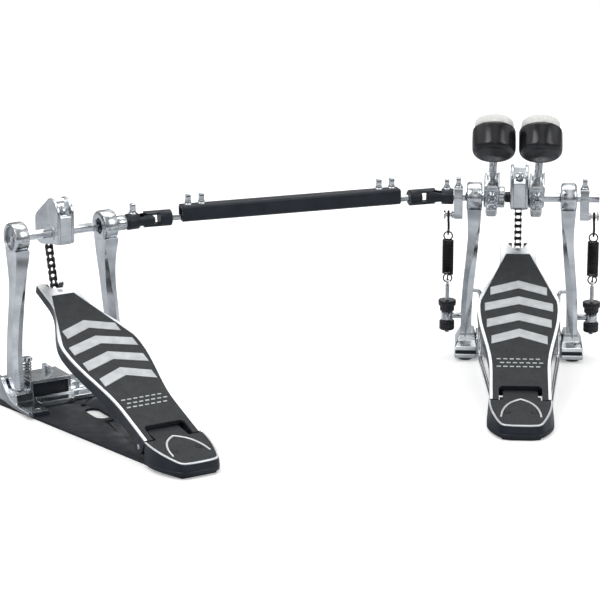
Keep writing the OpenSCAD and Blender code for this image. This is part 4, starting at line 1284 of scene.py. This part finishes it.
def add_math(tree, operation, a, b):
    node = tree.nodes.new("ShaderNodeMath")
    node.operation = operation
    for socket, value in zip(node.inputs, (a, b)):
        if isinstance(value, (int, float)):
            socket.default_value = value
        else:
            tree.links.new(value, socket)
    return node.outputs["Value"]


def add_levels(tree, value, stops):
    """Grey ramp over a value from -1 to 1; stops are (place, level)."""
    spread = tree.nodes.new("ShaderNodeMapRange")
    spread.inputs["From Min"].default_value = -1
    tree.links.new(value, spread.inputs["Value"])
    ramp = tree.nodes.new("ShaderNodeValToRGB")
    elements = ramp.color_ramp.elements
    while len(elements) < len(stops):
        elements.new(0.5)
    for element, (place, level) in zip(elements, stops):
        element.position = place
        element.color = (level, level, level, 1)
    tree.links.new(spread.outputs["Result"], ramp.inputs["Fac"])
    return ramp.outputs["Color"]


def add_floor():
    """Pale floor. Polished parts see it greyer than the camera does, which gives them contrast."""
    bpy.ops.mesh.primitive_plane_add(size=30, location=(0, 0, -0.0002))
    floor = bpy.context.object
    floor.name = "floor"
    mat, tree, shader = new_material("floor_white")
    shader.inputs["Roughness"].default_value = 0.9
    shader.inputs["Specular IOR Level"].default_value = 0.0
    mottle = add_noise(tree, 1.5)
    pale = add_colours(tree, mottle, (0.90, 0.90, 0.90), (0.92, 0.92, 0.92))
    grey = add_colours(tree, add_noise(tree, 5.0, detail=1), (0.22, 0.23, 0.25), (0.85, 0.87, 0.90))
    rays = tree.nodes.new("ShaderNodeLightPath")
    mix = tree.nodes.new("ShaderNodeMix")
    mix.data_type = "RGBA"
    tree.links.new(rays.outputs["Is Glossy Ray"], mix.inputs["Factor"])
    tree.links.new(pale, mix.inputs[6])
    tree.links.new(grey, mix.inputs[7])
    tree.links.new(mix.outputs[2], shader.inputs["Base Color"])
    shader.inputs["Emission Color"].default_value = (1, 1, 1, 1)
    tree.links.new(add_math(tree, "MULTIPLY", rays.outputs["Is Camera Ray"], 0.30),
                   shader.inputs["Emission Strength"])
    floor.data.materials.append(mat)


def add_world():
    """White for the camera, plain pale light for matt surfaces, bright and dark bands for polished ones."""
    world = bpy.data.worlds.new("studio")
    bpy.context.scene.world = world
    world.use_nodes = True
    tree = world.node_tree
    coords = tree.nodes.new("ShaderNodeTexCoord")
    split = tree.nodes.new("ShaderNodeSeparateXYZ")
    tree.links.new(coords.outputs["Generated"], split.inputs["Vector"])
    height = add_levels(tree, split.outputs["Z"],
                        [(0.0, 0.25), (0.50, 0.12), (0.56, 0.30), (0.70, 1.0), (1.0, 0.9)])
    across = add_levels(tree, split.outputs["X"],
                        [(0.0, 1.0), (0.22, 0.9), (0.30, 0.25), (0.42, 0.35), (0.50, 1.0), (0.60, 0.9),
                         (0.68, 0.2),
                         (0.80, 0.3), (0.90, 1.0), (1.0, 1.0)])
    bands = tree.nodes.new("ShaderNodeMix")
    bands.data_type = "RGBA"
    bands.blend_type = "MULTIPLY"
    bands.inputs["Factor"].default_value = 0.92
    tree.links.new(height, bands.inputs[6])
    tree.links.new(across, bands.inputs[7])
    glossy = tree.nodes["Background"]
    glossy.inputs["Strength"].default_value = 0.95
    tree.links.new(bands.outputs[2], glossy.inputs["Color"])
    rays = tree.nodes.new("ShaderNodeLightPath")
    plain = tree.nodes.new("ShaderNodeBackground")
    plain.inputs["Color"].default_value = (1, 1, 1, 1)
    tree.links.new(add_math(tree, "ADD", add_math(tree, "MULTIPLY", rays.outputs["Is Camera Ray"],
                                                  0.40), 0.60),
                   plain.inputs["Strength"])
    mix = tree.nodes.new("ShaderNodeMixShader")
    tree.links.new(rays.outputs["Is Glossy Ray"], mix.inputs["Fac"])
    tree.links.new(plain.outputs["Background"], mix.inputs[1])
    tree.links.new(glossy.outputs["Background"], mix.inputs[2])
    tree.links.new(mix.outputs["Shader"], tree.nodes["World Output"].inputs["Surface"])


def add_area(name, place, target, size, energy):
    data = bpy.data.lights.new(name, "AREA")
    data.shape = "RECTANGLE"
    data.size, data.size_y = size
    data.energy = energy
    lamp = bpy.data.objects.new(name, data)
    bpy.context.scene.collection.objects.link(lamp)
    lamp.location = place
    lamp.rotation_euler = (Vector(target) - Vector(place)).to_track_quat("-Z", "Y").to_euler()


def add_lights():
    middle = (-0.2, -0.05, 0.1)
    add_area("key", (-1.3, -1.4, 1.9), middle, (1.0, 1.2), 16)
    add_area("fill", (1.5, -1.0, 1.4), middle, (0.9, 1.2), 9)
    add_area("top", (-0.2, 0.5, 2.2), middle, (2.4, 1.4), 22)


# The camera: where it looks, from which side and how far
LOOK_AT = Vector((-0.229, 0.0, 0.0551))
CAMERA_TURN = math.radians(-3.27)
CAMERA_DROP = math.radians(15.8)
CAMERA_FAR = 2.854
LENS = 163.4


def add_camera():
    turn, drop = CAMERA_TURN, CAMERA_DROP
    forward = Vector((math.sin(turn) * math.cos(drop), math.cos(turn) * math.cos(drop), -math.sin(drop)))
    data = bpy.data.cameras.new("camera")
    data.lens = LENS
    data.sensor_width = 36
    camera = bpy.data.objects.new("camera", data)
    bpy.context.scene.collection.objects.link(camera)
    camera.location = LOOK_AT - forward * CAMERA_FAR
    camera.rotation_euler = forward.to_track_quat("-Z", "Y").to_euler()
    bpy.context.scene.camera = camera


add_floor()
add_world()
add_lights()
add_camera()
bpy.context.scene.view_settings.view_transform = "Standard"

bpy.context.view_layer.update()
